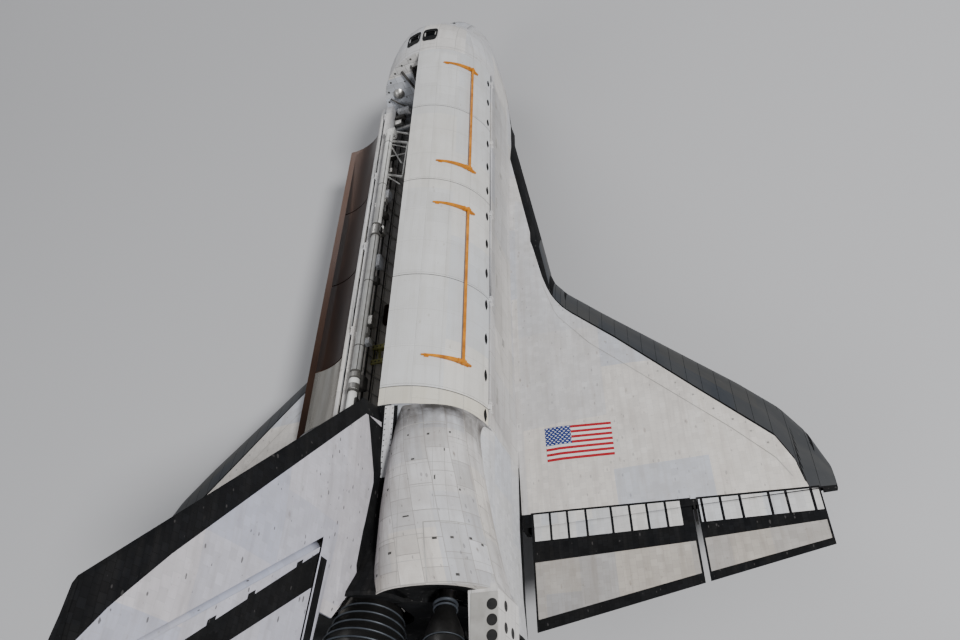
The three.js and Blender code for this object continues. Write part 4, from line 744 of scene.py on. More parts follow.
RIM_BREAKS = np.concatenate([
    mesh_lines(2672.0, 4150.0, step=370.0), mesh_lines(4150.0, 4700.0, step=185.0)[1:],
    mesh_lines(4700.0, 11892.0, step=425.0)[1:]])
field = [wing_strip(WING_LINES, white_station, panel_front, 44, 4.0)]
black_row = [wing_strip(WING_LINES, rim_station, white_station, 6, 5.0)]
rim = [rim_panel(a, b, 7.0, 5.0, int(b < 3800)) for a, b in zip(RIM_BREAKS, RIM_BREAKS[1:])]
seal = [rim_panel(RIM_BREAKS[0], RIM_BREAKS[-1], 2.5, 0.0)]
both_sides("wing_field", field, "airframe", [SKIN["wing_white"]], "white_tile")
both_sides("wing_black_row", black_row, "airframe", [SKIN["black_tile"]], "black_tile")
both_sides("wing_rim", rim, "airframe", [SKIN["grey_carbon"], SKIN["black_tile"]], "grey_carbon",
           ["leading_edge"])
both_sides("wing_rim_seal", seal, "airframe", [SKIN["black_tile"]], "black_tile")
print("rim panels", len(rim))

# %% [markdown]
# ## The framed panels and the flaps
# Small white doors in black frames cover the hinge line. Their front part lies on the wing and their rear
# part on the flap, which is a wedge with a round nose. Each flap is one closed surface: round the nose by
# an angle, then back along both faces to a thin edge, with its paint zones as columns of the same grid.

# %% Flaps and framed panels
FLAPS = [
    # name, inner y, outer y, black band's rear (inner, outer), rear strip's width (inner, outer)
    ("inboard_elevon", 2960.0, 7925.0, (30249.0, 30186.0), (330.0, 270.0)),
    ("outboard_elevon", 8075.0, 11450.0, (30143.0, 30054.0), (240.0, 170.0)),
]
PANEL_EDGES = {
    "inboard_elevon": [3022, 3593, 4156, 4744, 5535, 6098, 6619, 7167, 7637],
    "outboard_elevon": [8095, 8221, 8752, 9293, 10077, 10536, 11197, 11440],
}
DIVIDER = 76.0
FRAME_LINE = 62.0
SLOT_FRONT = 62.0
FLAP_MARGIN = 60.0
NOSE_WHITE = -0.125
EDGE_HALF = 20.0


def trailing_station(y):
    """The trailing edge, swept slightly forward."""
    return 32746 - 0.17734 * y


def flap_points(y, way, lift=0.0):
    """Way 0 to 1 runs up the top from the hinge to the rear edge; -1 to 0 turns round the nose from below; -2
    to -1 runs forward along the underside."""
    half = hinge_half(y)
    middle = hinge_height(y)
    trail = trailing_station(y)
    angle = np.clip(-way, 0, 1) * math.pi
    station = HINGE_STATION - (half + lift) * np.sin(angle)
    height = middle + (half + lift) * np.cos(angle)
    back = np.clip(way, 0, 1) + np.clip(-1 - way, 0, 1)
    sign = np.where(way > -0.5, 1, -1)
    station = station + back * (trail - HINGE_STATION)
    height = height + back * (sign * (EDGE_HALF + lift) - sign * (half + lift))
    return np.stack([station, y + 0 * station, height], -1)


def way_at(y, station):
    """The way along a flap's top at a station."""
    return (station - HINGE_STATION) / (trailing_station(y) - HINGE_STATION)


def panel_cells(edges):
    """The white panels' left and right sides between the dividers."""
    return [(a + DIVIDER / 2, b - DIVIDER / 2) for a, b in zip(edges, edges[1:])]


def between(lines, low, high):
    """The mesh lines from low to high."""
    return lines[(lines > low - 0.01) & (lines < high + 0.01)]


def flap(inner, outer, band, strip, edges):
    """All of one flap's skin: underside, nose, black band, grey field with black margins, rear strip, ends.
    The nose is white where it shows in the slot behind the white panels."""
    borders = [inner, *np.ravel(panel_cells(edges)), outer]

    def part(y_lines, first, last, rows, paint):
        """The skin between two ways, each a number or a function of y."""
        y, share = np.meshgrid(y_lines, np.linspace(0, 1, rows))
        start = first(y) if callable(first) else first + 0 * y
        end = last(y) if callable(last) else last + 0 * y
        points = flap_points(y, start + (end - start) * share)
        return patch(points, points[..., :2] / 1000, paint, flip=True)

    def band_rear(y):
        """The way at which the black band ends."""
        return way_at(y, np.interp(y, (inner, outer), band))

    def strip_front(y):
        """The way at which the rear strip begins."""
        return 1 - np.interp(y, (inner, outer), strip) / (trailing_station(y) - HINGE_STATION)

    sides = (inner + FLAP_MARGIN, outer - FLAP_MARGIN)
    whole = mesh_lines(*np.unique([*borders, *sides]), step=300.0)
    parts = [part(whole, -2.0, -1.0, 8, 0), part(whole, -1.0, NOSE_WHITE, 15, 0),
             part(whole, 0.0, band_rear, 4, 0), part(between(whole, *sides), band_rear, strip_front, 6, 1),
             part(whole, strip_front, 1.0, 3, 0)]
    for k, (low, high) in enumerate(zip(borders, borders[1:])):
        parts.append(part(between(whole, low, high), NOSE_WHITE, 0.0, 3, 2 * (k % 2)))
    for low, high in ((inner, sides[0]), (sides[1], outer)):
        parts.append(part(between(whole, low, high), band_rear, strip_front, 6, 0))
    y, share = np.meshgrid(whole, np.array([0.0, 1.0]))
    edge = np.stack([trailing_station(y), y, hinge_height(y) + EDGE_HALF * (1 - 2 * share)], -1)
    parts.append(patch(edge, edge[..., 1:] / 1000, 0, flip=True))
    for end, turned in ((inner, True), (outer, False)):
        round_top = np.append(np.linspace(-0.5, 0, 9), np.linspace(0, 1, 9)[1:])
        round_low = np.append(np.linspace(-0.5, -1, 9), np.linspace(-1, -2, 9)[1:])
        rim_top, rim_low = [flap_points(np.full(17, end), way) for way in (round_top, round_low)]
        face = rim_top[None] + (rim_low - rim_top)[None] * np.linspace(0, 1, 5)[:, None, None]
        parts.append(patch(face, face[..., [0, 2]] / 1000, 0, flip=turned))
    return parts


def framed_panels(name, inner, outer):
    """Black frame and white panels: (patches on the wing, patches on the flap)."""
    def slot_end(y):
        """Where the panels on the wing end, ahead of the flap's nose."""
        return HINGE_STATION - SLOT_FRONT + 0 * y

    lines = mesh_lines(inner + 8, outer - 8, step=300.0)
    on_wing = [wing_strip(lines, lambda y: panel_front(y) - FRAME_LINE / 2, slot_end, 4, 8.5, 0)]
    on_flap = []
    for low, high in panel_cells(PANEL_EDGES[name]):
        y_lines = mesh_lines(low, high, step=300.0)
        on_wing.append(wing_strip(y_lines, lambda y: panel_front(y) + FRAME_LINE / 2, slot_end, 3, 13.0, 1))
        y, share = np.meshgrid(y_lines, np.linspace(0, 1, 12))
        end = way_at(y, panel_rear(y))
        way = np.where(share < 0.5, -0.02 * (1 - 2 * share), end * (2 * share - 1))
        points = flap_points(y, way, 1.0 + np.clip(way * 60, 0, 1.5))
        on_flap.append(patch(points, points[..., :2] / 1000, 0, flip=True))
    return on_wing, on_flap


for name, inner, outer, band, strip in FLAPS:
    skin_parts = flap(inner, outer, band, strip, PANEL_EDGES[name])
    on_wing, on_flap = framed_panels(name, inner, outer)
    both_sides(name + "_skin", skin_parts, name,
               [SKIN["black_tile"], SKIN["flap_grey"], SKIN["panel_white"]], "white_tile", [name],
               outward=True)
    both_sides(name + "_hinge_doors", on_flap, name, [SKIN["panel_white"]], "white_tile")
    both_sides("wing_" + name.split("_")[0] + "_hinge_doors", on_wing, "airframe",
               [SKIN["black_tile"], SKIN["panel_white"]], "white_tile")
print("hinge doors", sum(len(v) - 1 for v in PANEL_EDGES.values()))

# %% [markdown]
# ## The striped emblem on the wing
# A painted flag lies flat on the white field: thirteen red and white stripes and a blue corner with small
# light dots. It is a plain pattern, so the shader draws it from the piece's own UV map, which runs from 0
# to 1 over the rectangle. The stripes come from rounding one coordinate and the dots from a shifted grid.

# %% Striped emblem
EMBLEM_CORNERS = np.array([[(25995, 3656), (26172, 5905)], [(27162, 3674), (27291, 5902)]], float)
STRIPES = 13
CANTON = (0.40, 7 / STRIPES)
DOT_ROWS = 9
DOT_COLUMNS = 6
RED, BLUE = (0.34, 0.018, 0.026), (0.016, 0.032, 0.16)
STRIPE_WHITE, DOT_WHITE = (0.62, 0.61, 0.60), (0.56, 0.56, 0.58)

emblem_paint, tree, shader = new_material("striped_emblem")
place = add(tree, "ShaderNodeSeparateXYZ", {0: add(tree, "ShaderNodeTexCoord").outputs["UV"]})
across, down = place.outputs[0], place.outputs[1]
odd = maths(tree, "MODULO", maths(tree, "FLOOR", maths(tree, "MULTIPLY", down, STRIPES)), 2.0)
stripes = blend(tree, odd, RED, STRIPE_WHITE)
row = maths(tree, "MULTIPLY", down, DOT_ROWS / CANTON[1])
shift = maths(tree, "MULTIPLY", maths(tree, "MODULO", maths(tree, "FLOOR", row), 2.0), 0.5)
column = maths(tree, "ADD", maths(tree, "MULTIPLY", across, DOT_COLUMNS / CANTON[0]), shift)
from_middle = [maths(tree, "SUBTRACT", maths(tree, "FRACT", v), 0.5) for v in (row, column)]
reach = maths(tree, "ADD", maths(tree, "POWER", from_middle[0], 2.0),
              maths(tree, "POWER", from_middle[1], 2.0))
dots = blend(tree, maths(tree, "LESS_THAN", reach, 0.075), BLUE, DOT_WHITE)
in_canton = maths(tree, "MULTIPLY", maths(tree, "LESS_THAN", across, CANTON[0]),
                  maths(tree, "LESS_THAN", down, CANTON[1]))
tree.links.new(blend(tree, in_canton, stripes, dots), shader.inputs["Base Color"])
shader.inputs["Roughness"].default_value = 0.6
shader.inputs["Specular IOR Level"].default_value = 0.12

inner, outer = EMBLEM_CORNERS[0, :, 1]
crank_share = float((CRANK_Y - inner) / (outer - inner))
down_share, across_share = grid(np.linspace(0, 1, 14), mesh_lines(0.0, crank_share, 1.0, step=0.08))
corner = (EMBLEM_CORNERS[0, 0] * ((1 - down_share) * (1 - across_share))[..., None]
          + EMBLEM_CORNERS[0, 1] * ((1 - down_share) * across_share)[..., None]
          + EMBLEM_CORNERS[1, 0] * (down_share * (1 - across_share))[..., None]
          + EMBLEM_CORNERS[1, 1] * (down_share * across_share)[..., None])
emblem = wing_points(corner[..., 1], share_at(corner[..., 1], corner[..., 0]), True, 11.0)
emblem_patch = patch(emblem, np.stack([across_share, down_share], -1), flip=True)
piece("starboard_wing_emblem", mirrored([emblem_patch]), "airframe", [emblem_paint], "white_tile")
print("emblem stripes", STRIPES)

# %% [markdown]
# ## The payload doors' outer skin
# A payload door is a quarter of a long barrel. The CAD solid shows it as ten flat strips, so a true round
# skin lies just over it. The door is built in five lengths with a dark seal between them, and each length
# is quilted blankets in a grid. The seals and the faint blanket lines are thin strips of their own, bent to
# the same radius.

# %% Door skins and their seams
DOOR_RADIUS = 2671.5
DOOR_FOOT = math.radians(11)
SKIN_FOOT = DOOR_FOOT + 0.002
CROWN = math.radians(89.95)
DOOR_ENDS = (8802.0, 27188.0)
DOOR_SEAMS = [12990.0, 17520.0, 22245.0, 26600.0]
BLANKET_LINES = [0.30, 0.52, 0.74]
BLANKET_LENGTH = 1500.0
HINGE_Y = 2700.0
HINGE_Z = 470.0
PORT_DOOR_OPEN = math.radians(175.5)


def door_points(station, angle, radius=DOOR_RADIUS):
    """A point on the closed starboard door: the angle runs up from the horizontal to the crown."""
    station, angle = station + 0 * angle, angle + 0 * station
    return np.stack([station, -radius * np.cos(angle), radius * np.sin(angle)], -1)


def swung(points, angle):
    """Points turned outwards about the port door's hinge line."""
    y = points[:, 1] - HINGE_Y
    z = points[:, 2] - HINGE_Z
    return np.stack([points[:, 0], HINGE_Y + y * math.cos(angle) + z * math.sin(angle),
                     HINGE_Z + z * math.cos(angle) - y * math.sin(angle)], -1)


def opened(patches):
    """The same door on the port side, swung open about its hinge line by the angle at which it rests."""
    return [dict(p, points=swung(p["points"], PORT_DOOR_OPEN)) for p in mirrored(patches)]


def door_strip(first, last, low, high, rise, rows=2, columns=30, paint=0):
    """A strip of the door between two stations and two angles, a little above the skin."""
    station, angle = grid(np.linspace(first, last, rows), np.linspace(low, high, columns))
    uv = np.stack([station / 1000, angle * DOOR_RADIUS / 1000], -1)
    return patch(door_points(station, angle, DOOR_RADIUS + rise), uv, paint)


door_skin = [door_strip(DOOR_ENDS[0], DOOR_SEAMS[-1], SKIN_FOOT, CROWN, 0.0, 60, 40),
             door_strip(DOOR_SEAMS[-1], DOOR_ENDS[1], SKIN_FOOT, CROWN, 0.0, 4, 40, 1)]
seams = [door_strip(s - 13, s + 13, SKIN_FOOT, CROWN, 1.6) for s in DOOR_SEAMS]
seams += [door_strip(s - 90, s - 84, SKIN_FOOT, CROWN, 1.2) for s in DOOR_SEAMS]
lines = []
for share in BLANKET_LINES:
    angle = DOOR_FOOT + share * (CROWN - DOOR_FOOT)
    lines.append(door_strip(DOOR_ENDS[0], DOOR_ENDS[1], angle, angle + 0.0030, 1.0, 2, 2))
for first, last in zip([DOOR_ENDS[0]] + DOOR_SEAMS, DOOR_SEAMS + [DOOR_ENDS[1]]):
    count = max(1, int(round((last - first) / BLANKET_LENGTH)))
    for k in range(1, count):
        s = first + (last - first) * k / count
        lines.append(door_strip(s, s + 8, SKIN_FOOT, CROWN, 1.0))
DOOR_SIDES = (("starboard", list), ("port", opened))
for side, move in DOOR_SIDES:
    body = side + "_bay_door"
    piece(side + "_door_skin", move(door_skin), body, [SKIN["door_white"], SKIN["door_cream"]],
          "white_blanket")
    piece(side + "_door_seams", move(seams), body, [STUFF["seal_black"]], "white_blanket")
    piece(side + "_door_blanket_lines", move(lines), body, [STUFF["seal_grey"]], "white_blanket")
print("door seams", len(DOOR_SEAMS), "blanket lines", len(lines))

# %% [markdown]
# ## The black hinge covers
# Along the foot of each door the skin carries a row of small black lens-shaped covers over the hinges. One
# cover is a shallow dome on a lens outline: its half width falls off as a parabola along its length. The
# row repeats it, so it has few faces.

# %% Hinge covers along the doors' feet
COVER_PITCH = 1432.0
COVER_FIRST = 9700.0
COVER_COUNT = 13
COVER_LONG = 240.0
COVER_TALL = 84.0
COVER_ANGLE = math.radians(14.6)


def hinge_cover(station):
    """A lens: along runs from -1 to 1, the half width is 1 - along squared, the middle swells by 14 mm."""
    along, across = grid(np.linspace(-1, 1, 9), np.linspace(-1, 1, 5))
    width = 1 - along ** 2
    swell = 2 + 14 * width * (1 - across ** 2) ** 0.5
    angle = COVER_ANGLE + across * width * COVER_TALL / DOOR_RADIUS
    return patch(door_points(station + along * COVER_LONG, angle, DOOR_RADIUS + swell))


covers = [hinge_cover(COVER_FIRST + k * COVER_PITCH) for k in range(COVER_COUNT)]
for side, move in DOOR_SIDES:
    piece(side + "_hinge_covers", move(covers), side + "_bay_door", [SKIN["black_tile"]], "black_tile")
print("hinge covers", 2 * COVER_COUNT)

# %% [markdown]
# ## The engine pods
# Each pod is a long bulb that grows out of the tail's shoulder. It is a loft: at every station the outline
# is a super-ellipse, fuller than an ellipse and softer than a box, and the outline's sizes run between a
# few measured stations by cubic pieces that never overshoot. So the pod has no facets and no kinks.

# %% Lofted pods
BELL = np.array([(1150, 400), (1700, 640), (2350, 865), (3150, 1060), (3990, 1194)], float)
SWING_ORIGIN = (30709.0, 0.0, 1092.0)
SWING_PITCHES = (5.5, 10.5, 16.0, 21.5, 26.5)


def clear_of_bell(patches, margin=80.0):
    """The same patches, with every point that the upper engine's bell reaches moved out past its swing."""
    cleared = []
    for one in patches:
        points = one["points"]
        for pitch in np.radians(SWING_PITCHES):
            axis = np.array([math.cos(pitch), 0.0, math.sin(pitch)])
            away = points - SWING_ORIGIN
            depth = away @ axis
            across = away - depth[:, None] * axis
            reach = np.maximum(np.linalg.norm(across, axis=1), 1.0)
            need = np.interp(depth, BELL[:, 0], BELL[:, 1]) + margin
            short = np.where((depth > -300) & (depth < BELL[-1, 0] + margin), need - reach, 0.0)
            points = points + across / reach[:, None] * np.maximum(short, 0.0)[:, None]
        cleared.append(dict(one, points=points))
    return cleared


POD_TABLE = np.array([
    # station, centre y, half width, top, bottom, middle height
    (27240, 1600, 1060, 2990, 780, 1780), (28300, 1600, 1160, 3180, 780, 1810),
    (28700, 1600, 1210, 3200, 780, 1820), (30200, 1690, 1370, 3370, 700, 1850),
    (31700, 1860, 1530, 3450, 640, 1880), (32680, 1990, 1660, 3470, 625, 1890)], float)
POD_ARCH = 2.45
POD_SQUARE = 2.6
POD_FRONT = 27240.0
POD_FULL = 28150.0
POD_REAR = 32679.0
POD_TURNS = (math.radians(-24), math.radians(196))
CAD_REAR = (1850.0, 1504.0, 3449.0, 631.0, 1915.0, 2.3, 2.6)
BARREL = 2660.0
DARKENING_REACH = 980.0


def smooth_rows(table, at):
    """A table's columns at new stations, by cubic pieces whose slopes are harmonic means of the steps."""
    knots = table[:, 0]
    rises = np.diff(table, axis=0) / np.diff(knots)[:, None]
    product = rises[1:] * rises[:-1]
    total = np.where(np.abs(rises[1:] + rises[:-1]) < 1e-9, 1.0, rises[1:] + rises[:-1])
    inner = np.where(product > 0, 2 * product / total, 0.0)
    slopes = np.concatenate([rises[:1], inner, rises[-1:]])
    k = np.clip(np.searchsorted(knots, at, side="right") - 1, 0, len(knots) - 2)
    width = (knots[k + 1] - knots[k])[:, None]
    u = ((at - knots[k]) / (knots[k + 1] - knots[k]))[:, None]
    start, end = table[k], table[k + 1]
    return ((1 + 2 * u) * (1 - u) ** 2 * start + u ** 2 * (3 - 2 * u) * end
            + width * u * (1 - u) ** 2 * slopes[k] + width * u ** 2 * (u - 1) * slopes[k + 1])


def hoop(centre, half, top, bottom, middle, arch, square, turn):
    """A closed outline round the body: cosine and sine bent by a power, one power above and one below."""
    power = np.where(np.sin(turn) >= 0, arch, square)
    wide = np.sign(np.cos(turn)) * np.abs(np.cos(turn)) ** (2 / power)
    tall = np.sign(np.sin(turn)) * np.abs(np.sin(turn)) ** (2 / power)
    return centre + half * wide, middle + np.where(tall >= 0, top - middle, middle - bottom) * tall


def girth(y, z):
    """The length run along each row of points, for the UV map."""
    steps = np.hypot(np.diff(y, axis=1), np.diff(z, axis=1))
    return np.concatenate([np.zeros((len(y), 1)), np.cumsum(steps, axis=1)], 1) / 1000


def pod_points(station, turn, lift):
    """The pod's outline, which climbs steeply out of the body's barrel, as a root of a quarter sine."""
    table = smooth_rows(POD_TABLE, np.asarray(station, float).reshape(-1))
    centre, half, top, bottom, middle = [table[:, k:k + 1] for k in range(1, 6)]
    y, z = hoop(centre, half + lift, top + lift, bottom - lift, middle, POD_ARCH, POD_SQUARE, turn)
    barrel = np.sqrt(BARREL ** 2 - np.clip(np.abs(y), 0, BARREL - 20) ** 2)
    out = np.clip((np.reshape(station, (-1, 1)) - POD_FRONT) / (POD_FULL - POD_FRONT), 0, 1)
    rise = np.sin(out * math.pi / 2) ** 0.45
    height = np.where(z > barrel - 40, barrel - 40 + (z - barrel + 40) * rise, z)
    return y, height


def pod_patch(first, last, low, high, lift, rows, columns):
    """Part of the pod's outer skin between two stations and two turns, in radians from the outboard side. Its
    front is darkened by a field that fades towards the rear."""
    share = np.linspace(0, 1, rows)
    ends = POD_FRONT - 5 < first < POD_FRONT + 5
    stations = first + (last - first) * (share ** 1.6 if ends else share)
    turn = np.linspace(low, high, columns)[None]
    y, z = pod_points(stations, turn, lift)
    station = stations[:, None] + 0 * y
    # the skin goes darker towards the pod's front, fading rearwards
    grime = 0.92 * np.clip(1.50 - (station - POD_FRONT) / DARKENING_REACH, 0, 1)
    return patch(np.stack([station, y, z], -1), np.stack([station / 1000, girth(y, z)], -1), grime=grime)


def pod_rear():
    """The rim behind the pod: straight lines from the skin's outline to the CAD pod's outline."""
    turn = np.linspace(*POD_TURNS, 64)
    y, z = pod_points(np.array([POD_REAR]), turn[None], 6.0)
    inner_y, inner_z = hoop(*CAD_REAR, turn)
    share = np.linspace(0, 1, 4)[:, None]
    rim_y = y[0] + (inner_y - y[0]) * share
    rim_z = z[0] + (inner_z - z[0]) * share
    station = POD_REAR + 3 * share + 0 * rim_y
    return patch(np.stack([station, rim_y, rim_z], -1), np.stack([rim_y, rim_z], -1) / 1000)


def pod_spot(station, turn, long, wide):
    """A small patch on the pod that follows its surface, long by wide mm."""
    half = math.degrees(wide / 3000)
    low, high = math.radians(turn - half), math.radians(turn + half)
    return pod_patch(station - long / 2, station + long / 2, low, high, 9.0, 3, 3)


POD_RINGS = [
    # station, lowest turn, highest turn in degrees, width in mm
    (28320, 20, 150, 22), (28900, 8, 162, 10), (29560, 30, 150, 10), (30230, 10, 160, 10),
    (30880, 30, 150, 10), (31190, -20, 84, 24), (31480, 84, 165, 14), (32100, 20, 160, 10),
    (32640, -20, 165, 16),
]
POD_LINES = [
    # turn in degrees, first station, last station, width in degrees
    (84, 31190, 32660, 0.9), (104, 27900, 32590, 0.4), (128, 28760, 32590, 0.4), (18, 31190, 32660, 0.6),
    (60, 28320, 31190, 0.4), (42, 28320, 30230, 0.4), (74, 28320, 30880, 0.3), (116, 28320, 30230, 0.3),
    (146, 28320, 32590, 0.4), (52, 31190, 32640, 0.3),
]
POD_SPOTS = [
    # station, turn in degrees, length, width
    (28620, 52, 60, 70), (28700, 80, 60, 80), (28640, 100, 50, 60), (29180, 60, 90, 40),
    (29420, 92, 50, 70), (30020, 72, 120, 40), (30120, 122, 60, 90), (30300, 44, 60, 60),
    (31560, 40, 60, 90), (31600, 60, 60, 90), (31640, 26, 60, 90), (31620, 76, 60, 110),
    (31840, 112, 60, 110), (32250, 132, 60, 80), (32480, 60, 60, 90), (29000, 128, 60, 60),
    (31000, 96, 40, 140), (27700, 86, 90, 160), (27760, 62, 70, 120), (27680, 110, 70, 90),
]
pod_skin = [pod_patch(POD_FRONT, POD_REAR, *POD_TURNS, 6.0, 90, 96), pod_rear()]
ringed = [pod_patch(s, s + wide, math.radians(low), math.radians(high), 8.0, 2, 50)
          for s, low, high, wide in POD_RINGS]
ringed += [pod_patch(a, b, math.radians(t), math.radians(t + wide), 7.5, 40, 2)
           for t, a, b, wide in POD_LINES]
spots = [pod_spot(*row) for row in POD_SPOTS]
both_sides("pod_skin", clear_of_bell(pod_skin), "airframe", [SKIN["pod_white"]], "white_blanket")
both_sides("pod_seams", clear_of_bell(ringed, 78.0), "airframe", [STUFF["seal_grey"]], "white_blanket")
both_sides("pod_spots", spots, "airframe", [STUFF["seal_black"]], "black_tile")
print("pod seams", len(ringed), "spots", len(spots))

# %% [markdown]
# ## Discs, tubes and blocks
# Nozzle mouths, struts and boxes are the same few shapes again and again. A disc is a centre, a normal and
# a radius. A tube carries a circle along a path. A block is a box whose eight long edges are cut off, built
# as rings that shrink to a point at both ends, so it is closed.

# %% Small shapes
BLOCK_WIDE, CUT_WIDE = (1, 1, 1, -1, -1, -1, -1, 1, 1), (0, 0, 1, -1, 0, 0, -1, 1, 0)
BLOCK_TALL, CUT_TALL = (-1, 1, 1, 1, 1, -1, -1, -1, -1), (-1, 1, 0, 0, 1, -1, 0, 0, -1)


def unit(v):
    """Vectors scaled to length one."""
    v = np.asarray(v, float)
    return v / np.linalg.norm(v, axis=-1, keepdims=True)


def disc(centre, normal, radius, sink=0.0, sides=24):
    """A round dish: radius times cosine and sine on two axes square to the normal, sunk in the middle."""
    normal = unit(normal)
    first = unit(np.cross(normal, (0.0, 1.0, 0.0) if abs(normal[1]) < 0.9 else (1.0, 0.0, 0.0)))
    second = np.cross(normal, first)
    reach, turn = grid([0.0, 0.6, 1.0], np.linspace(0, 2 * math.pi, sides + 1))
    points = (np.asarray(centre, float) + radius * reach[..., None]
              * (np.cos(turn)[..., None] * first + np.sin(turn)[..., None] * second)
              - sink * (1 - reach ** 2)[..., None] * normal)
    return patch(points, np.stack([reach * np.cos(turn), reach * np.sin(turn)], -1) * radius / 1000)


def tube(path, radius, sides=12):
    """A circle carried along a path, closed by a point at each end."""
    path = np.asarray(path, float)
    along = unit(np.gradient(path, axis=0))
    guide = np.array([0.0, 0.0, 1.0]) if abs(along[:, 2]).max() < 0.9 else np.array([0.0, 1.0, 0.0])
    first = unit(np.cross(along, guide))
    second = np.cross(along, first)
    turn = np.linspace(0, 2 * math.pi, sides + 1)[None, :, None]
    rings = path[:, None] + radius * (np.cos(turn) * first[:, None] + np.sin(turn) * second[:, None])
    ends = [np.repeat(path[k][None, None], sides + 1, axis=1) for k in (0, -1)]
    points = np.concatenate([ends[0], rings, ends[1]])
    run = np.concatenate([[0], [0], np.cumsum(np.linalg.norm(np.diff(path, axis=0), axis=1)), [0]]) / 1000
    uv = np.stack(grid(run, np.linspace(0, 2 * math.pi * radius / 1000, sides + 1)), -1)
    return patch(points, uv)


def block(low, high, cut=12.0, paint=0):
    """A box between two corners: eight-sided rings, drawn in at both ends and closed by points."""
    low, high = np.asarray(low, float), np.asarray(high, float)
    middle, half = (low + high) / 2, (high - low) / 2
    cut = min(cut, half.min() * 0.8)
    wide = half[1] * np.array(BLOCK_WIDE) - cut * np.array(CUT_WIDE)
    tall = half[2] * np.array(BLOCK_TALL) - cut * np.array(CUT_TALL)
    rings = []
    for along, k in ((-half[0], 0.0), (-half[0], 1 - cut / half[1:].max()), (-half[0] + cut, 1.0),
                     (half[0] - cut, 1.0), (half[0], 1 - cut / half[1:].max()), (half[0], 0.0)):
        station = middle[0] + along + 0 * wide
        rings.append(np.stack([station, middle[1] + wide * k, middle[2] + tall * k], -1))
    points = np.stack(rings)
    return patch(points, (points[..., [0, 2]] + points[..., [1, 1]]) / 1000, paint)


print("shapes ready")

# %% [markdown]
# ## The deck between the pods, and the thrusters' mouths
# A narrow deck runs between the pod and the fin: first a white strip held by a row of screws, then a black
# strip that is painted shade at the fin's foot. At the pod's rear corner a housing carries small thrusters,
# whose round mouths face up. They are flat black discs on a pale plate: the nozzles' dark throats, and
# painted shade of their hollows.

# %% Deck strips and thruster mouths
DECK_STRIP = (27262.0, 29430.0)
DECK_SIDES = (215.0, 520.0)
DECK_REAR = 32590.0
SCREWS = 13
SCREW_FIRST = 27350.0
SCREW_PITCH = 165.0
MOUTHS = [
    # station, y, z, normal, radius
    (33033, 3535, 2799, (0, 0, 1), 128), (33365, 3535, 2799, (0, 0, 1), 128),
    (33690, 3535, 2799, (0, 0, 1), 128), (34040, 3535, 2799, (0, 0, 1), 60),
    (32950, 3684, 2250, (0, 1, 0), 120), (33420, 3684, 2250, (0, 1, 0), 120),
    (33900, 3684, 2250, (0, 1, 0), 120), (33420, 3684, 1750, (0, 1, 0), 120),
]


def deck_height(station, y):
    """The height of the body's crown, a little raised."""
    return np.sqrt(2670.0 ** 2 - y ** 2) - np.interp(station, (27200, 29300, 32600), (0, 110, 130)) + 20


def deck_part(first, last, near, far, lift, paint):
    """A strip of the deck between two stations and two distances from the middle."""
    station, y = grid(np.linspace(first, last, 12), np.linspace(near, far, 4))
    points = np.stack([station, y, deck_height(station, y) + lift], -1)
    return patch(points, points[..., :2] / 1000, paint, flip=True)


# the second part is black as painted shade beside the fin's foot
deck = [deck_part(*DECK_STRIP, DECK_SIDES[0] + 40, DECK_SIDES[1], 14, 0),
        deck_part(DECK_STRIP[0], DECK_REAR, 200.0, 620.0, 2, 1)]
screws = []
for s in SCREW_FIRST + SCREW_PITCH * np.arange(SCREWS):
    for y in (DECK_SIDES[0] + 75, DECK_SIDES[1] - 30):
        screws.append(disc((s, y, deck_height(s, y) + 18), (0, 0, 1), 22, 4))
plates = [block((32760, 3020, 2776), (34170, 3672, 2796), 8)]
mouths = [disc((s, y, z), normal, radius) for s, y, z, normal, radius in MOUTHS]
both_sides("deck", clear_of_bell(deck), "airframe", [SKIN["white_tile"], SKIN["black_tile"]], "white_tile")
both_sides("deck_screws", screws, "airframe", [STUFF["seal_black"]], "black_tile")
both_sides("thruster_plate", plates, "airframe", [STUFF["seal_grey"]], "white_tile", outward=True)
both_sides("thruster_mouths", mouths, "airframe", [STUFF["mouth_black_and_shade"]], "black_tile")
print("screws", len(screws), "mouths", len(mouths))

# %% [markdown]
# ## The fin and the rudder
# The fin's side is a gentle bulge from a rounded leading edge to the rudder's hinge line. Its half
# thickness at a height runs in five straight pieces along the chord, and the chord itself changes with
# height. The black leading edge, the white field and a black band of painted shade at the foot, where the
# fin meets the body, are strips of that one surface.

# %% Fin skins
FIN_ROOT = 2540.0
FIN_TIP = 10556.0
RUDDER_FOOT = 4830.0
RUDDER_HEAD = 9880.0
CAP_EDGE = RUDDER_HEAD + 100.0
LIP_EDGE = RUDDER_FOOT - 62.0
LEAD_HEIGHTS, LEAD_STATIONS = (FIN_ROOT, 3500.0, 10600.0), (27215.0, 27424.0, 34524.0)
ROOT_SHADE_BAND = np.array([
    # station, the top of the painted shade band at the fin's foot
    (27900, 3380), (28400, 3230), (29712, 2900), (31032, 3060), (32997, 3060), (33284, 3060)], float)
BLACK_BORDER = np.array([
    # z, the black leading edge's width
    (2540, 500), (3420, 520), (6800, 610), (9030, 700), (9960, 850), (10556, 1100)], float)
TRAIL_FOOT = 33284.0
TRAIL_SLOPE = 0.4932
HINGE_SLOPE = 0.6960
RUDDER_CHORD = 2326.0
FIN_WEDGE = math.tan(math.radians(5))
FIN_TWIST = 11.0


def fin_lead(z):
    """The fin's leading edge: 45 degrees, nearly upright over its fillet at the root."""
    return np.interp(z, LEAD_HEIGHTS, LEAD_STATIONS)


def swept_trail(z):
    """The sloping trailing line, carried on down to the root."""
    return TRAIL_FOOT + TRAIL_SLOPE * (z - FIN_ROOT)


def fin_trail(z):
    """The fin's trailing line, upright below the rudder."""
    return TRAIL_FOOT + (swept_trail(z) - TRAIL_FOOT) * np.clip((z - 4200) / 160, 0, 1)


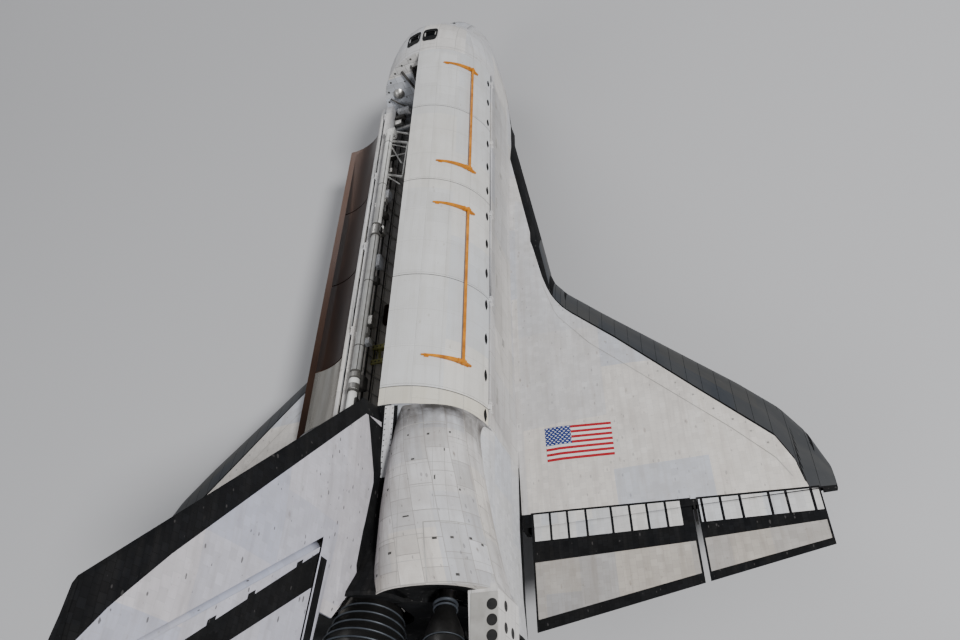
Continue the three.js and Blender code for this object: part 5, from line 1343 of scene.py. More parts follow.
def rudder_hinge(z):
    """The rudder's hinge line, a straight line up the fin."""
    return swept_trail(RUDDER_FOOT) - RUDDER_CHORD + HINGE_SLOPE * (z - RUDDER_FOOT)


def fin_half(z):
    """Half the thickness at the hinge line: a five degree wedge from the trailing line."""
    return FIN_WEDGE * (swept_trail(z) - rudder_hinge(z))


def fin_points(z, station, lift):
    """The distance from the middle plane: five straight pieces along the chord, plus a lift."""
    lead = fin_lead(z)
    hinge = rudder_hinge(z)
    half = fin_half(z)
    crest = half + 20
    knots = [lead, lead + 60, lead + 500, lead + 0.62 * (hinge - lead), hinge, fin_trail(z)]
    depths = [0 * z, 45 + 0 * z, 0.55 * crest, 1.02 * crest, half, 22 + 0 * z]
    side = 0 * station
    for k in range(5):
        share = np.clip((station - knots[k]) / np.maximum(1.0, knots[k + 1] - knots[k]), 0, 1)
        side = side + (depths[k + 1] - depths[k]) * share
    lift = lift + FIN_TWIST * (1 - np.clip((station - knots[3]) / (hinge - knots[3]), 0, 1))
    ahead = np.clip((station - lead) / 60, 0, 1)
    return np.stack([station - lift * (1 - ahead), side + lift * ahead, z + 0 * station], -1)


def fin_patch(z, station, lift):
    """A patch of the fin's port side, with its UV along the chord and up."""
    points = fin_points(z, station, lift)
    return patch(points, points[..., [0, 2]] / 1000)


def fin_strip(z_lines, first, last, columns, lift):
    """The fin's port side between two stations given as functions of height."""
    z, share = grid(z_lines, np.linspace(0, 1, columns))
    return fin_patch(z, first(z) + (last(z) - first(z)) * share, lift)


def black_border(z):
    """The rear line of the black leading edge."""
    return fin_lead(z) + np.interp(z, BLACK_BORDER[:, 0], BLACK_BORDER[:, 1])


def fin_root_band():
    """A dark band of painted shade along the fin's foot, where the fin meets the body."""
    stations = mesh_lines(27900.0, 29712.0, 31032.0, 33270.0, step=260.0)
    station, share = np.meshgrid(stations, np.linspace(0, 1, 8))
    top = np.interp(station, ROOT_SHADE_BAND[:, 0], ROOT_SHADE_BAND[:, 1])
    return fin_patch(2560 + (top - 2560) * share, station, 8.5)


def fin_rear(z):
    """Where the fin's side ends: at the trailing line, or at the lip that leaves the rudder room."""
    lip = rudder_hinge(z) - 0.98 * fin_half(z) - 24
    return np.where((z > LIP_EDGE) & (z < CAP_EDGE), lip, fin_trail(z) - 2)


STRIP_FRONT = 32250.0
foot_lines = mesh_lines(2560.0, 3500.0, 4200.0, 4360.0, 4440.0, 4720.0, LIP_EDGE - 0.1, step=160.0)
upper_lines = mesh_lines(LIP_EDGE + 0.1, 9030.0, CAP_EDGE - 0.1, step=220.0)
head_lines = mesh_lines(CAP_EDGE + 0.1, FIN_TIP - 2, step=160.0)
white_lines = [foot_lines[foot_lines <= 4200], mesh_lines(4200.0, 4360.0, 4440.0, step=100.0),
               mesh_lines(4440.0, LIP_EDGE - 0.1, step=100.0), upper_lines, head_lines]
all_lines = np.concatenate([foot_lines, upper_lines, head_lines])
strip_lines = mesh_lines(4440.0, 4720.0, step=100.0)
# the root band is painted shade at the fin's foot; the first strip is the black leading edge
fin_black_and_root_shade = [fin_strip(all_lines, fin_lead, black_border, 14, 5.0), fin_root_band(),
             fin_strip(strip_lines, lambda z: STRIP_FRONT + 0 * z, fin_rear, 8, 7.5)]
fin_white = [fin_strip(z_lines, black_border, fin_rear, 24, 4.5) for z_lines in white_lines]
both_sides("fin_black_and_root_shade", clear_of_bell(fin_black_and_root_shade), "airframe", [SKIN["black_tile"]], "black_tile")
both_sides("fin_white", clear_of_bell(fin_white), "airframe", [SKIN["fin_white"]], "white_tile")
print("fin strips", len(fin_black_and_root_shade) + len(fin_white))

# %% [markdown]
# ## The seals between the fin and the rudder
# The fin stops short of the hinge, so that the two rudder panels can swing wide. Each panel carries a thin
# curved seal that fills the gap: a quarter of a cone about the hinge line. The two cones have different
# radii, so they slide past each other.

# %% Rudder seals
HINGE_TILT = math.atan(HINGE_SLOPE)
SEAL_SHARES = {"port": 0.90, "starboard": 0.95}


def rudder_seal(share, lowest, highest):
    """Part of a cone: its radius is a share of the half thickness; it turns from the side to the front."""
    z, turn = grid(np.linspace(lowest, highest, 20), np.radians(np.linspace(-6, 68, 12)))
    radius = fin_half(z) * share
    ahead = radius * np.sin(turn)
    points = np.stack([rudder_hinge(z) - ahead * math.cos(HINGE_TILT), radius * np.cos(turn),
                       z + ahead * math.sin(HINGE_TILT)], -1)
    return patch(points, np.stack([z / 1000, radius * turn / 1000], -1))


for side, turn_over in SIDES:
    seal = rudder_seal(SEAL_SHARES[side], RUDDER_FOOT + 8, RUDDER_HEAD - 80)
    seal_piece = piece(side + "_rudder_seal", turn_over([seal]), side + "_rudder_panel", [SKIN["fin_white"]],
                       "white_tile")
    wall = seal_piece.modifiers.new("sheet", "SOLIDIFY")
    wall.thickness = 0.003
    wall.offset = -1
print("rudder's foot: hinge", float(rudder_hinge(RUDDER_FOOT)), "half", float(fin_half(RUDDER_FOOT)))

# %% [markdown]
# ## Everything that keeps its CAD outline
# The table says which finish each of these solids gets and how much its edges are rounded. Solids that a
# finer piece stands for, and those with a paint line, aren't in it.

# %% Smoothed copies of the CAD solids
COPIES = [
    # node, with {} for port and starboard, material, record slot, bevel in metres
    ("nose_cap", SKIN["grey_carbon"], "grey_carbon", 0.0),
    ("windshield_glass", STUFF["window_glass"], "window_glass", 0.0),
    ("roof_window_glass", STUFF["window_glass"], "window_glass", 0.0),
    ("crew_hatch", SKIN["white_tile"], "white_tile", 0.0),
    ("airlock", SKIN["bulkhead_quilt"], "white_blanket", 0.0),
    ("arm_upper_boom", STUFF["white_metal"], "white_blanket", 0.0),
    ("arm_lower_boom", STUFF["white_metal"], "white_blanket", 0.0),
    ("arm_end_effector", STUFF["white_metal"], "white_blanket", 0.0),
    ("arm_shoulder_pedestal", STUFF["white_metal"], "white_blanket", 0.01),
    ("arm_forward_cradle", STUFF["bare_metal"], "bare_metal", 0.008),
    ("arm_rear_cradle", STUFF["bare_metal"], "bare_metal", 0.008),
    ("upper_main_engine", STUFF["dark_metal"], "bare_metal", 0.0),
    ("{}_main_engine", STUFF["dark_metal"], "bare_metal", 0.0),
    ("body_flap", SKIN["black_tile"], "black_tile", 0.0),
    ("base_heat_shield", SKIN["black_tile"], "black_tile", 0.0),
    ("{}_wing", SKIN["black_tile"], "white_tile", 0.0),
    ("{}_orbital_engine", STUFF["dark_metal"], "bare_metal", 0.0),
    ("rudder_shaft", STUFF["bare_metal"], "bare_metal", 0.0),
    ("nose_gear_cylinder", STUFF["white_metal"], "bare_metal", 0.006),
    ("nose_gear_piston", STUFF["white_metal"], "bare_metal", 0.006),
    ("nose_wheel_hubs", STUFF["bare_metal"], "bare_metal", 0.006),
    ("nose_tyre_{}", STUFF["tyre_rubber"], "tyre_rubber", 0.0),
    ("{}_main_gear_leg", STUFF["white_metal"], "bare_metal", 0.006),
    ("{}_main_wheel_hubs", STUFF["bare_metal"], "bare_metal", 0.006),
    ("{}_main_tyre_port", STUFF["tyre_rubber"], "tyre_rubber", 0.0),
    ("{}_main_tyre_starboard", STUFF["tyre_rubber"], "tyre_rubber", 0.0),
    ("nose_gear_door_{}", SKIN["black_tile"], "black_tile", 0.006),
    ("main_gear_door_{}", SKIN["black_tile"], "black_tile", 0.006),
]
copies = []
for node, material, slot, bevel in COPIES:
    for name in sorted({node.format(side) for side, turn_over in SIDES}):
        copies.append(smooth_copy(name, material, bevel))
print("copies", len(copies))

# %% [markdown]
# ## Copies with a paint line
# Some solids are black below a line and white above it. The line is cut into the copy as real edges by a
# plane, and the faces on each side of it take their own material.

# %% Copies cut along their paint lines
RUDDER_CUT_FOOT = 32087.0
RUDDER_BAND = 880.0
BAND_START = 120.0
BAND_FLARE = 0.0623
BAND_BLOCKS = [5477.0, 6817.0, 7728.0, 8640.0]
LEAD_BAND = 480.0
GAP_WALL = (31300.0, 4500.0)
TIP_LINE = 10440.0
CROWN_HALF = 420.0
# The crown and hump bounds mark the aft body's painted shade at the fin's foot.
CROWN_FLOOR = 2200.0
HUMP_FRONT, HUMP_FLOOR, HUMP_HALF = 30950.0, 1900.0, 2300.0
BELLY_LINE = -2430.0
BULKHEAD_RIM = 2400.0
NOSE_LINE = (-1180.0, -0.160)
ROOF_WINDOW = (7350.0, 400.0)
REVEAL_HALF = (330.0, 300.0)
REVEAL_FLOOR = 2000.0
ORBITAL_ENGINE = (32563.0, 2235.0, 2337.0)
ORBITAL_CLIMB = 0.283
POCKET_FRONT = 32440.0
POCKET_RADIUS = 725.0
HOUSING_FRONT, HOUSING_SIDE = 31990.0, 2955.0


def rudder_zone(middle, facing):
    """Black between the band's two lines, white ahead of them and behind them."""
    behind = middle[:, 0] - rudder_hinge(middle[:, 2])
    start = BAND_START + BAND_FLARE * (middle[:, 2] - RUDDER_FOOT)
    return ((behind > RUDDER_BAND) | (behind < start)).astype(int)


def fin_zone(middle, facing):
    """Black along the leading edge, on the tip and on the walls of the rudder's gap, white elsewhere."""
    near_edge = middle[:, 0] - fin_lead(middle[:, 2]) < LEAD_BAND
    gap_wall = (np.abs(facing[:, 1]) < 0.5) & (middle[:, 0] > GAP_WALL[0]) & (middle[:, 2] > GAP_WALL[1])
    return (near_edge | gap_wall | (middle[:, 2] > TIP_LINE)).astype(int)


def belly_zone(middle, facing):
    """Black below the belly line."""
    return (middle[:, 2] < BELLY_LINE).astype(int)


def aft_zone(middle, facing):
    """Black tile below the belly line; painted shade on the crown between the pods and the hump behind."""
    crown = (np.abs(middle[:, 1]) < CROWN_HALF) & (middle[:, 2] > CROWN_FLOOR)
    hump = (middle[:, 0] > HUMP_FRONT) & (middle[:, 2] > HUMP_FLOOR) & (np.abs(middle[:, 1]) < HUMP_HALF)
    return (crown | hump | (middle[:, 2] < BELLY_LINE)).astype(int)


def pod_zone(middle, facing):
    """Black on the rear face and in the pocket round the orbital engine."""
    station, y, z = ORBITAL_ENGINE
    reach = np.hypot(np.abs(middle[:, 1]) - y, middle[:, 2] - z - ORBITAL_CLIMB * (middle[:, 0] - station))
    pocket = (middle[:, 0] > POCKET_FRONT) & (reach < POCKET_RADIUS)
    return ((facing[:, 0] > 0.5) | pocket).astype(int)


def under_pod_skin(middle):
    """The CAD pod's faces that the finer skin hides: all ahead of the pocket but the thrusters' housing."""
    housing = (np.abs(middle[:, 1]) > HOUSING_SIDE) & (middle[:, 0] > HOUSING_FRONT)
    return (middle[:, 0] < POCKET_FRONT) & ~housing


def bulkhead_zone(middle, facing):
    """Quilting on both faces; the rim is white above the belly line and black below it."""
    rim = (np.abs(facing[:, 0]) < 0.5) & (np.hypot(middle[:, 1], middle[:, 2]) > BULKHEAD_RIM)
    return np.where(rim, np.where(middle[:, 2] < BELLY_LINE, 2, 1), 0)


def nose_zone(middle, facing):
    """Black below a line that falls from the nose cap to the belly line, and in the roof windows' reveals."""
    line = np.maximum(NOSE_LINE[0] + NOSE_LINE[1] * middle[:, 0], BELLY_LINE)
    from_window = np.abs(np.abs(middle[:, :2]) - ROOF_WINDOW)
    reveal = np.all(from_window < REVEAL_HALF, axis=1) & (facing[:, 2] < 0.85)
    return ((middle[:, 2] < line) | (reveal & (middle[:, 2] > REVEAL_FLOOR))).astype(int)


def band_block(z):
    """A small black block on the rudder, just ahead of the black band."""
    start = BAND_START + BAND_FLARE * (z - RUDDER_FOOT)
    rows, share = grid(np.linspace(z - 95, z + 95, 3), [0.0, 1.0])
    return fin_patch(rows, rudder_hinge(rows) + start - 88 + 100 * share, 5.0)


rudder_cut = [((RUDDER_CUT_FOOT + RUDDER_BAND, 0, RUDDER_FOOT), (1, 0, -HINGE_SLOPE)),
              ((RUDDER_CUT_FOOT + BAND_START, 0, RUDDER_FOOT), (1, 0, -HINGE_SLOPE - BAND_FLARE))]
fin_cut = [((LEAD_STATIONS[1] + LEAD_BAND, 0, LEAD_HEIGHTS[1]), (1, 0, -1)), ((0, 0, TIP_LINE), (0, 0, 1)),
           ((0, 0, LEAD_HEIGHTS[1]), (0, 0, 1))]
belly_cut = [((0, 0, BELLY_LINE), (0, 0, 1))]
nose_cut = [((0, 0, NOSE_LINE[0]), (-NOSE_LINE[1], 0, 1))] + belly_cut
aft_cut = belly_cut + [((30000, side * CROWN_HALF, 3000), (0, 1, 0)) for side in (-1, 1)]
ZONED = [
    # node, with {} for port and starboard, skins, record slot, cuts, zone, faces left out
    ("fin", ("fin_white", "black_tile"), "white_tile", fin_cut, fin_zone, None),
    ("cabin_bulkhead", ("bulkhead_quilt", "white_blanket", "black_tile"), "white_blanket", belly_cut,
     bulkhead_zone, None),
    ("{}_engine_pod", ("white_blanket", "black_tile"), "white_blanket", (), pod_zone, under_pod_skin),
    ("{}_rudder_panel", ("black_tile", "fin_white"), "white_tile", rudder_cut, rudder_zone, None),
    ("mid_fuselage", ("white_blanket", "black_tile"), "white_blanket", belly_cut, belly_zone, None),
    ("aft_fuselage", ("white_tile", "black_tile"), "white_blanket", aft_cut, aft_zone, None),
    ("forward_fuselage", ("white_blanket", "black_tile"), "white_blanket", nose_cut, nose_zone, None),
    ("forward_thruster_module", ("white_tile", "black_tile"), "white_blanket", nose_cut, nose_zone, None),
]
zoned = []
for node, skins, slot, cuts, zone, drop in ZONED:
    for name in sorted({node.format(side) for side, turn_over in SIDES}):
        zoned.append(smooth_copy(name, [SKIN[key] for key in skins], 0.0, cuts, zone, drop))
blocks = [band_block(z) for z in BAND_BLOCKS]
both_sides("rudder_blocks", blocks, "rudder_panel", [SKIN["black_tile"]], "black_tile")
print("copies with paint lines", len(zoned))

# %% [markdown]
# ## The radiators
# A door's inner face carries radiators under a copper film, and the last one under a silver film. The port
# door rests open, so its faces are turned back to the closed place before they are asked which way they
# look.

# %% Doors and radiators
LAST_RADIATOR = 22422.0
INNER_RADIUS = 2600.0


def closed(points, side):
    """Points of a door, the port one brought back to where they lie when it is closed."""
    return points if side == "starboard" else swung(points, -PORT_DOOR_OPEN)


def door_zone(side):
    """Copper film where a door's face looks towards the barrel's axis, white elsewhere."""
    def zone(middle, facing):
        """A face looks inwards if a short step along its normal brings it nearer to the axis."""
        spot = closed(middle, side)
        tip = closed(middle + facing * 10, side)
        inward = np.hypot(tip[:, 1], tip[:, 2]) < np.hypot(spot[:, 1], spot[:, 2]) - 5
        return (inward & (np.hypot(spot[:, 1], spot[:, 2]) < INNER_RADIUS)).astype(int)
    return zone


def film_zone(middle, facing):
    """Silver film on the last radiator, copper film on the others."""
    return (middle[:, 0] > LAST_RADIATOR).astype(int)


film_cut = [((LAST_RADIATOR, 0, 0), (1, 0, 0))]
for side, turn_over in SIDES:
    smooth_copy(side + "_bay_door", [SKIN["white_blanket"], STUFF["radiator_film"]],
                zone=door_zone(side))
    smooth_copy(side + "_radiator", [STUFF["radiator_film"], STUFF["silver_film"]],
                cuts=film_cut, zone=film_zone)
print("last radiator from station", LAST_RADIATOR)

# %% [markdown]
# ## Lifting frames on the closed door
# Two orange frames are strapped to the closed door while it is handled. Each is a long tube with a curved
# arm at either end. The arms are thin at the crown of the door and grow towards the tube, where a wedge
# braces them.

# %% Orange frames
STRAP_LOW = 2684.0
FRAME_ENDS = [("forward_lifting_frame", 9900.0, 16500.0), ("rear_lifting_frame", 18800.0, 25500.0)]
RAIL_TURN = math.radians(37.0)
RAIL_REACH = STRAP_LOW + 90.0
END_BARS = [
    # first and last degrees, lifts of the inner face, lifts of the outer face, half widths
    (65, 35, (12, 12), (58, 142), (20, 58)), (41, 30, (12, 12), (142, 60), (64, 26)),
    (63, 60, (0, 0), (20, 20), (62, 62)), (35, 32, (0, 0), (20, 20), (62, 62)),
]


def sweep(station, first, last, inner, outer, half):
    """A bar bent round the door: a rectangle carried through an angle while its height and width change."""
    share = np.linspace(0, 1, 13)[:, None]
    angle = np.radians(first + (last - first) * share)
    low, high = [STRAP_LOW + ends[0] + (ends[1] - ends[0]) * share for ends in (inner, outer)]
    wide = half[0] + (half[1] - half[0]) * share
    radius = np.concatenate([low, high, high, low, low], 1)
    along = station + np.concatenate([-wide, -wide, wide, wide, -wide], 1)
    points = np.stack([along, radius * np.cos(angle), radius * np.sin(angle)], -1)
    uv = np.stack([np.broadcast_to(share * 1.5, along.shape), np.arange(5) * 0.1 + 0 * along], -1)
    ends = [patch(points[k][[0, 1, 3, 2]].reshape(2, 2, 3)) for k in (0, -1)]
    return [patch(points, uv)] + ends


def rail(first, last, radius, sides):
    """A straight tube beside the door between two stations."""
    stations = np.linspace(first, last, 3)
    y, z = RAIL_REACH * math.cos(RAIL_TURN), RAIL_REACH * math.sin(RAIL_TURN)
    return tube(np.stack([stations, y + 0 * stations, z + 0 * stations], -1), radius, sides)


def lifting_frame(front, rear):
    """A rail and, at each end, an arm, a wedge, two pads and a collar."""
    made = [rail(front, rear, 54, 16)]
    for s in (front, rear):
        for bar in END_BARS:
            made += sweep(s, *bar)
        made.append(rail(s - 80, s + 80, 70, 12))
    return made


for node, front, rear in FRAME_ENDS:
    piece(node + "_fine", mirrored(lifting_frame(front, rear)), "starboard_bay_door",
          [STUFF["orange_paint"]], "orange_paint", [node], outward=True)
print("lifting frames", len(FRAME_ENDS))

# %% [markdown]
# ## Small things on the wing
# A seam runs parallel to the rim with a row of round plugs inside it. A plate fills the gap between the two
# flaps, fixed to the wing's rear rib.

# %% Plugs, seam and plate
INNER_SEAM = np.array([(19800, 3900), (21400, 4350), (22941, 5469)], float)
SEAM_LINE = np.array([(22941, 5469), (25185, 7698), (26992, 9485), (28146, 10525), (28750, 10840)], float)
PLUGS = np.array([(22987, 6028), (23700, 6720), (24565, 7637), (25120, 8130), (25665, 8598), (26277, 9118),
                  (26736, 9606), (27209, 10037), (27657, 10421), (21900, 4980), (20900, 4480)], float)


def on_wing(spots, lift):
    """Points on the wing's upper side at rows of station and y."""
    spots = np.asarray(spots, float)
    return wing_points(spots[..., 1], share_at(spots[..., 1], spots[..., 0]), True, lift)


stations = np.linspace(INNER_SEAM[0, 0], INNER_SEAM[-1, 0], 12)
inner_run = np.stack([stations, np.interp(stations, INNER_SEAM[:, 0], INNER_SEAM[:, 1])], -1)
steps = np.linspace(0, 1, 60)
seam_run = np.stack([np.interp(steps, np.linspace(0, 1, 5), SEAM_LINE[:, k]) for k in (0, 1)], -1)
seams = []
for run in (inner_run, seam_run):
    near = on_wing(run + [-7, 7], 11.0)
    far = on_wing(run + [7, -7], 11.0)
    seams.append(patch(np.stack([near, far]), np.stack([near, far])[..., :2] / 1000))
plugs = [disc(on_wing(spot, 16.0), (0.03, 0, 1), 32, sides=12) for spot in PLUGS]
plate_z = float(hinge_height(np.array(8000.0)))
gap_plate = [block((28960, 7968, plate_z - 150), (29640, 8032, plate_z + 150), 20),
             block((28960, 7975, plate_z + 150), (29300, 8025, plate_z + 205), 12)]
both_sides("wing_plugs", plugs, "airframe", [STUFF["seal_grey"]], "black_tile", merge=0.0)
both_sides("wing_seam", seams, "airframe", [STUFF["seal_grey"]], "white_tile", merge=0.0)
both_sides("flap_gap_plate", gap_plate, "airframe", [STUFF["dark_metal"]], "bare_metal", outward=True)
print("plugs", len(plugs), "seams", len(seams))

# %% [markdown]
# ## Inside the payload bay
# The port door stands open, so the bay's inside shows: hoop frames round the trough, trays of cable and
# boxes under the sill, a quilted bulkhead with a rim of round fasteners, a truss of white tubes by the
# airlock and a green beam further back, whose holes are black discs of painted shade. None of them moves,
# so they ride with the airframe. They are tubes, blocks and discs from short tables.

# %% Bay frames, trays and boxes
FRAME_STATIONS = [12325.0 + 1417.5 * k for k in range(11)]
BAY_RADIUS = 2290.0
BAY_RUN = (8800.0, 18000.0, 27150.0)
TRAYS = [
    # y, z, radius
    (2225, -60, 42), (2150, -420, 30), (2262, 150, 24),
]
hoop_turn = np.radians(np.linspace(-179, -1, 41))


def bay_frame(station, radius):
    """A hoop on the trough's wall: a tube along half a circle."""
    y, z = BAY_RADIUS * np.cos(hoop_turn), BAY_RADIUS * np.sin(hoop_turn)
    return tube(np.stack([station + 0 * y, y, z], -1), radius, 6)


frames = [bay_frame(s, 34) for s in FRAME_STATIONS] + [bay_frame(s + 708, 16) for s in FRAME_STATIONS]
trays = [tube([(s, y, z) for s in BAY_RUN], radius, 8) for y, z, radius in TRAYS]
BAY_BOXES = [
    # station, length, y low, y high, z low, z high, paint
    (9050, 260, 1500, 2100, 120, 420, 0), (9420, 180, 1750, 2250, 60, 300, 1),
    (9700, 300, 1900, 2270, -80, 240, 2), (11900, 420, 2050, 2300, -60, 230, 1),
    (13050, 300, 2080, 2300, -120, 180, 2), (14600, 500, 2040, 2300, -80, 260, 0),
    (15900, 260, 2070, 2300, -100, 240, 1), (16750, 420, 2080, 2300, -60, 220, 2),
    (18400, 600, 2060, 2300, -90, 250, 0), (19500, 300, 2080, 2300, -60, 200, 1),
    (20350, 900, 1500, 2120, -820, -640, 3), (21500, 420, 2040, 2300, -90, 250, 2),
    (22500, 260, 2060, 2300, -60, 230, 0), (24150, 520, 2060, 2300, -90, 260, 1),
    (25200, 300, 2040, 2300, -90, 250, 2), (26100, 420, 2060, 2300, -60, 260, 0),
    (24900, 700, 1100, 1900, -1350, -1150, 2), (16300, 900, 700, 1700, -1750, -1550, 0),
    (19000, 1200, 300, 1300, -2050, -1850, 1), (22300, 800, 900, 1700, -1650, -1450, 2),
]
boxes = [block((s, y0, z0), (s + long, y1, z1), 22, paint) for s, long, y0, y1, z0, z1, paint in BAY_BOXES]
BEAM = (22480.0, 22660.0)
beam = [block((BEAM[0], 250, -420), (BEAM[1], 2230, -340), 12),
        block((BEAM[0], 250, -760), (BEAM[0] + 30, 2230, -420), 8),
        block((BEAM[1] + 480, 250, -420), (BEAM[1] + 660, 2230, -340), 12)]
# the beam's holes are black discs: painted shade where the bay shows through
beam_hole_shades = [disc((s, y, -338), (0, 0, 1), 34, sides=12) for s in (BEAM[0] + 90, BEAM[1] + 570)
              for y in np.arange(380, 2200, 150)]
beam_web = [block((BEAM[1], y, -560), (BEAM[1] + 480, y + 26, -400), 6) for y in np.arange(330, 2200, 230)]
wall_strips = [tube([(s, 2302 * math.cos(a), 2302 * math.sin(a)) for s in BAY_RUN], 9, 6)
               for a in np.radians(np.arange(-80, -8, 9))]
BOX_PAINTS = [SKIN["bulkhead_quilt"], STUFF["seal_black"], STUFF["bare_metal"], STUFF["radiator_film"]]
both_sides("bay_boxes", boxes, "airframe", BOX_PAINTS, "bare_metal", outward=True)
both_sides("bay_trays", trays + wall_strips, "airframe", [STUFF["dark_metal"]], "bare_metal", outward=True)
both_sides("bay_beam", beam + beam_web, "airframe", [STUFF["primer_green"]], "bare_metal", outward=True)
both_sides("bay_beam_holes", beam_hole_shades, "airframe", [STUFF["seal_black"]], "bare_metal")
piece("bay_frames", frames, "airframe", [STUFF["seal_grey"]], "bare_metal", outward=True)
print("frames", len(frames), "boxes", len(boxes))

# %% [markdown]
# ## The truss and the bulkhead
# Beside the airlock a truss of thick white tubes crosses the port half of the bay, with lighter diagonals.
# The bulkhead carries round black fasteners along its rim, dark window frames, a polished dome and three
# struts.

# %% Truss and bulkhead
TRUSS = [
    # from station, y, to station, y, radius
    (10660, 2360, 11318, 1336, 52), (11380, 2360, 11988, 1281, 58), (11380, 2360, 13680, 2360, 46),
    (13680, 2360, 14255, 1377, 58), (11988, 1300, 14255, 1377, 46), (11440, 2340, 13300, 1500, 34),
    (13700, 2340, 14700, 1450, 34), (10660, 2360, 11380, 2360, 40), (12550, 2360, 12700, 1320, 26),
    (11600, 2340, 12300, 1320, 26),
]
TRUSS_Z = 430.0
BULKHEAD_FACE = 8784.0
FASTENERS = [
    # y, z
    (1250, 1500), (1500, 700), (900, 900), (2050, 500), (700, 2050),
]
truss = [tube(np.linspace((a, b, TRUSS_Z), (c, d, TRUSS_Z), 3), r, 12) for a, b, c, d, r in TRUSS]
truss += [tube(np.linspace((s, y, TRUSS_Z), (s, y * 0.96, -700), 3), 30, 10)
          for s, y in ((11988, 1300), (14255, 1377), (11318, 1336), (12700, 1320))]
dots = [disc((BULKHEAD_FACE, 2510 * math.cos(a), 2510 * math.sin(a)), (1, 0, 0), 52)
        for a in np.radians(np.arange(4, 180, 12.3))]
dots += [disc((BULKHEAD_FACE, y, z), (1, 0, 0), 36) for y, z in FASTENERS]


def window_ring(centre, across, up, outer, inner, power=4):
    """A flat frame round a window: from one rounded rectangle to a smaller one, on two axes."""
    turn, share = np.meshgrid(np.linspace(0, 2 * math.pi, 41), np.linspace(0, 1, 3))
    c = np.sign(np.cos(turn)) * np.abs(np.cos(turn)) ** (2 / power)
    s = np.sign(np.sin(turn)) * np.abs(np.sin(turn)) ** (2 / power)
    wide = outer[0] + (inner[0] - outer[0]) * share
    tall = outer[1] + (inner[1] - outer[1]) * share
    wide, tall = wide * c, tall * s
    points = np.asarray(centre, float) + wide[..., None] * unit(across) + tall[..., None] * unit(up)
    return patch(points, np.stack([wide, tall], -1) / 1000)


dots += [window_ring((BULKHEAD_FACE, side * 420, 1770), (0, 1, 0), (0, 0, 1), (290, 310), (186, 206))
         for side in (-1, 1)]
dome = [disc((BULKHEAD_FACE + 2, 1780, 980), (1, 0, 0), 270, -190, sides=32)]
struts = [tube([(8840, 1150, 2050), (8930, 950, 1350), (9000, 760, 640)], 58, 12),
          tube([(8840, 620, 2200), (8900, 700, 1500), (8980, 690, 800)], 34, 12),
          tube([(8850, 2250, 900), (8900, 1900, 500), (9100, 1500, 300)], 40, 12)]
piece("truss", truss, "airframe", [STUFF["white_metal"]], "white_blanket", outward=True)
piece("bulkhead_fasteners", dots, "airframe", [STUFF["seal_black"]], "black_tile")
piece("bulkhead_dome", dome, "airframe", [STUFF["bare_metal"]], "bare_metal")
piece("bulkhead_struts", struts, "airframe", [STUFF["seal_black"]], "bare_metal", outward=True)
print("truss tubes", len(truss), "fasteners", len(dots))

# %% [markdown]
# ## The arm's joints
# The long arm lies along the port sill. Its booms are white blankets over a tube; at the elbow and the
# wrist the motors sit in silver drums between black bands, and a cable runs along the boom. These bands
# ride with the arm.

# %% Bands and drums on the arm
ARM_Y = 2090.0
ARM_Z = 760.0
ARM_BANDS = [
    # first station, last station, radius, paint
    (17300, 17392, 202, 0), (17392, 17885, 196, 1), (17885, 17940, 202, 0), (12100, 12130, 171, 0),
    (14900, 14930, 171, 0), (20300, 20330, 171, 0), (23300, 23330, 171, 0), (24370, 24450, 196, 0),
    (24450, 24640, 191, 1), (24640, 24700, 197, 0), (24900, 25100, 191, 1), (25130, 25220, 190, 0),
    (25900, 26040, 180, 0), (26300, 26420, 182, 1),
]


def band_round(first, last, radius, paint):
    """A sleeve round the arm: a circle carried along the station, drawn in at both ends."""
    turn = np.linspace(0, 2 * math.pi, 33)
    station = np.array([first, first, last, last])[:, None] + 0 * turn
    reach = radius * np.array([0.86, 1.0, 1.0, 0.86])[:, None]
    points = np.stack([station, ARM_Y + reach * np.cos(turn), ARM_Z + reach * np.sin(turn)], -1)
    return patch(points, points[..., :2] / 1000, paint)


bands = [band_round(*row) for row in ARM_BANDS]
CABLE_Y, CABLE_Z = ARM_Y - 100, ARM_Z + 139
arm_cable = [tube([(a, CABLE_Y, CABLE_Z), ((a + b) / 2, CABLE_Y, CABLE_Z + 5), (b, CABLE_Y, CABLE_Z)], 13, 8)
             for a, b in ((11700, 17280), (17960, 24350))]
arm_cable += [block((17480, ARM_Y - 262, ARM_Z - 90), (17780, ARM_Y - 120, ARM_Z + 90), 18),
              block((25450, ARM_Y - 240, ARM_Z - 80), (25800, ARM_Y - 110, ARM_Z + 80), 18)]
piece("arm_bands", bands, "arm", [STUFF["seal_black"], STUFF["bare_metal"]], "bare_metal", outward=True)
piece("arm_cables", arm_cable, "arm", [STUFF["dark_metal"]], "bare_metal", outward=True)
print("arm bands", len(bands))

# %% [markdown]
# ## The nose: windows and thruster mouths
# The nose is a loft of super-ellipses whose power grows from two at the tip to ten at the bay. The same
# formula gives the height of the roof and the direction that the skin faces, so frames and nozzle mouths
# lie on the skin.

# %% Nose details
NOSE_TABLE = np.array([
    # station, half width, top, bottom, middle, arch power, square power
    (150, 470, -1080, -1980, -1540, 2, 2), (360, 730, -850, -2230, -1570, 2, 2.1),
    (640, 960, -660, -2430, -1590, 2, 2.2), (1100, 1270, -420, -2650, -1590, 2, 2.5),
    (1800, 1600, -120, -2860, -1540, 2, 2.8), (2700, 1900, 220, -3040, -1440, 2, 3.1),
    (3600, 2120, 530, -3170, -1300, 2, 3.4), (4250, 2250, 760, -3240, -1180, 2, 3.7),
    (5350, 2430, 1980, -3310, -900, 2, 4.2), (6000, 2520, 2350, -3340, -650, 2, 4.8),
    (6900, 2610, 2560, -3370, -350, 2, 5.6), (7900, 2660, 2650, -3380, -100, 2, 7),
    (8640, 2670, 2670, -3380, 0, 2, 10)], float)


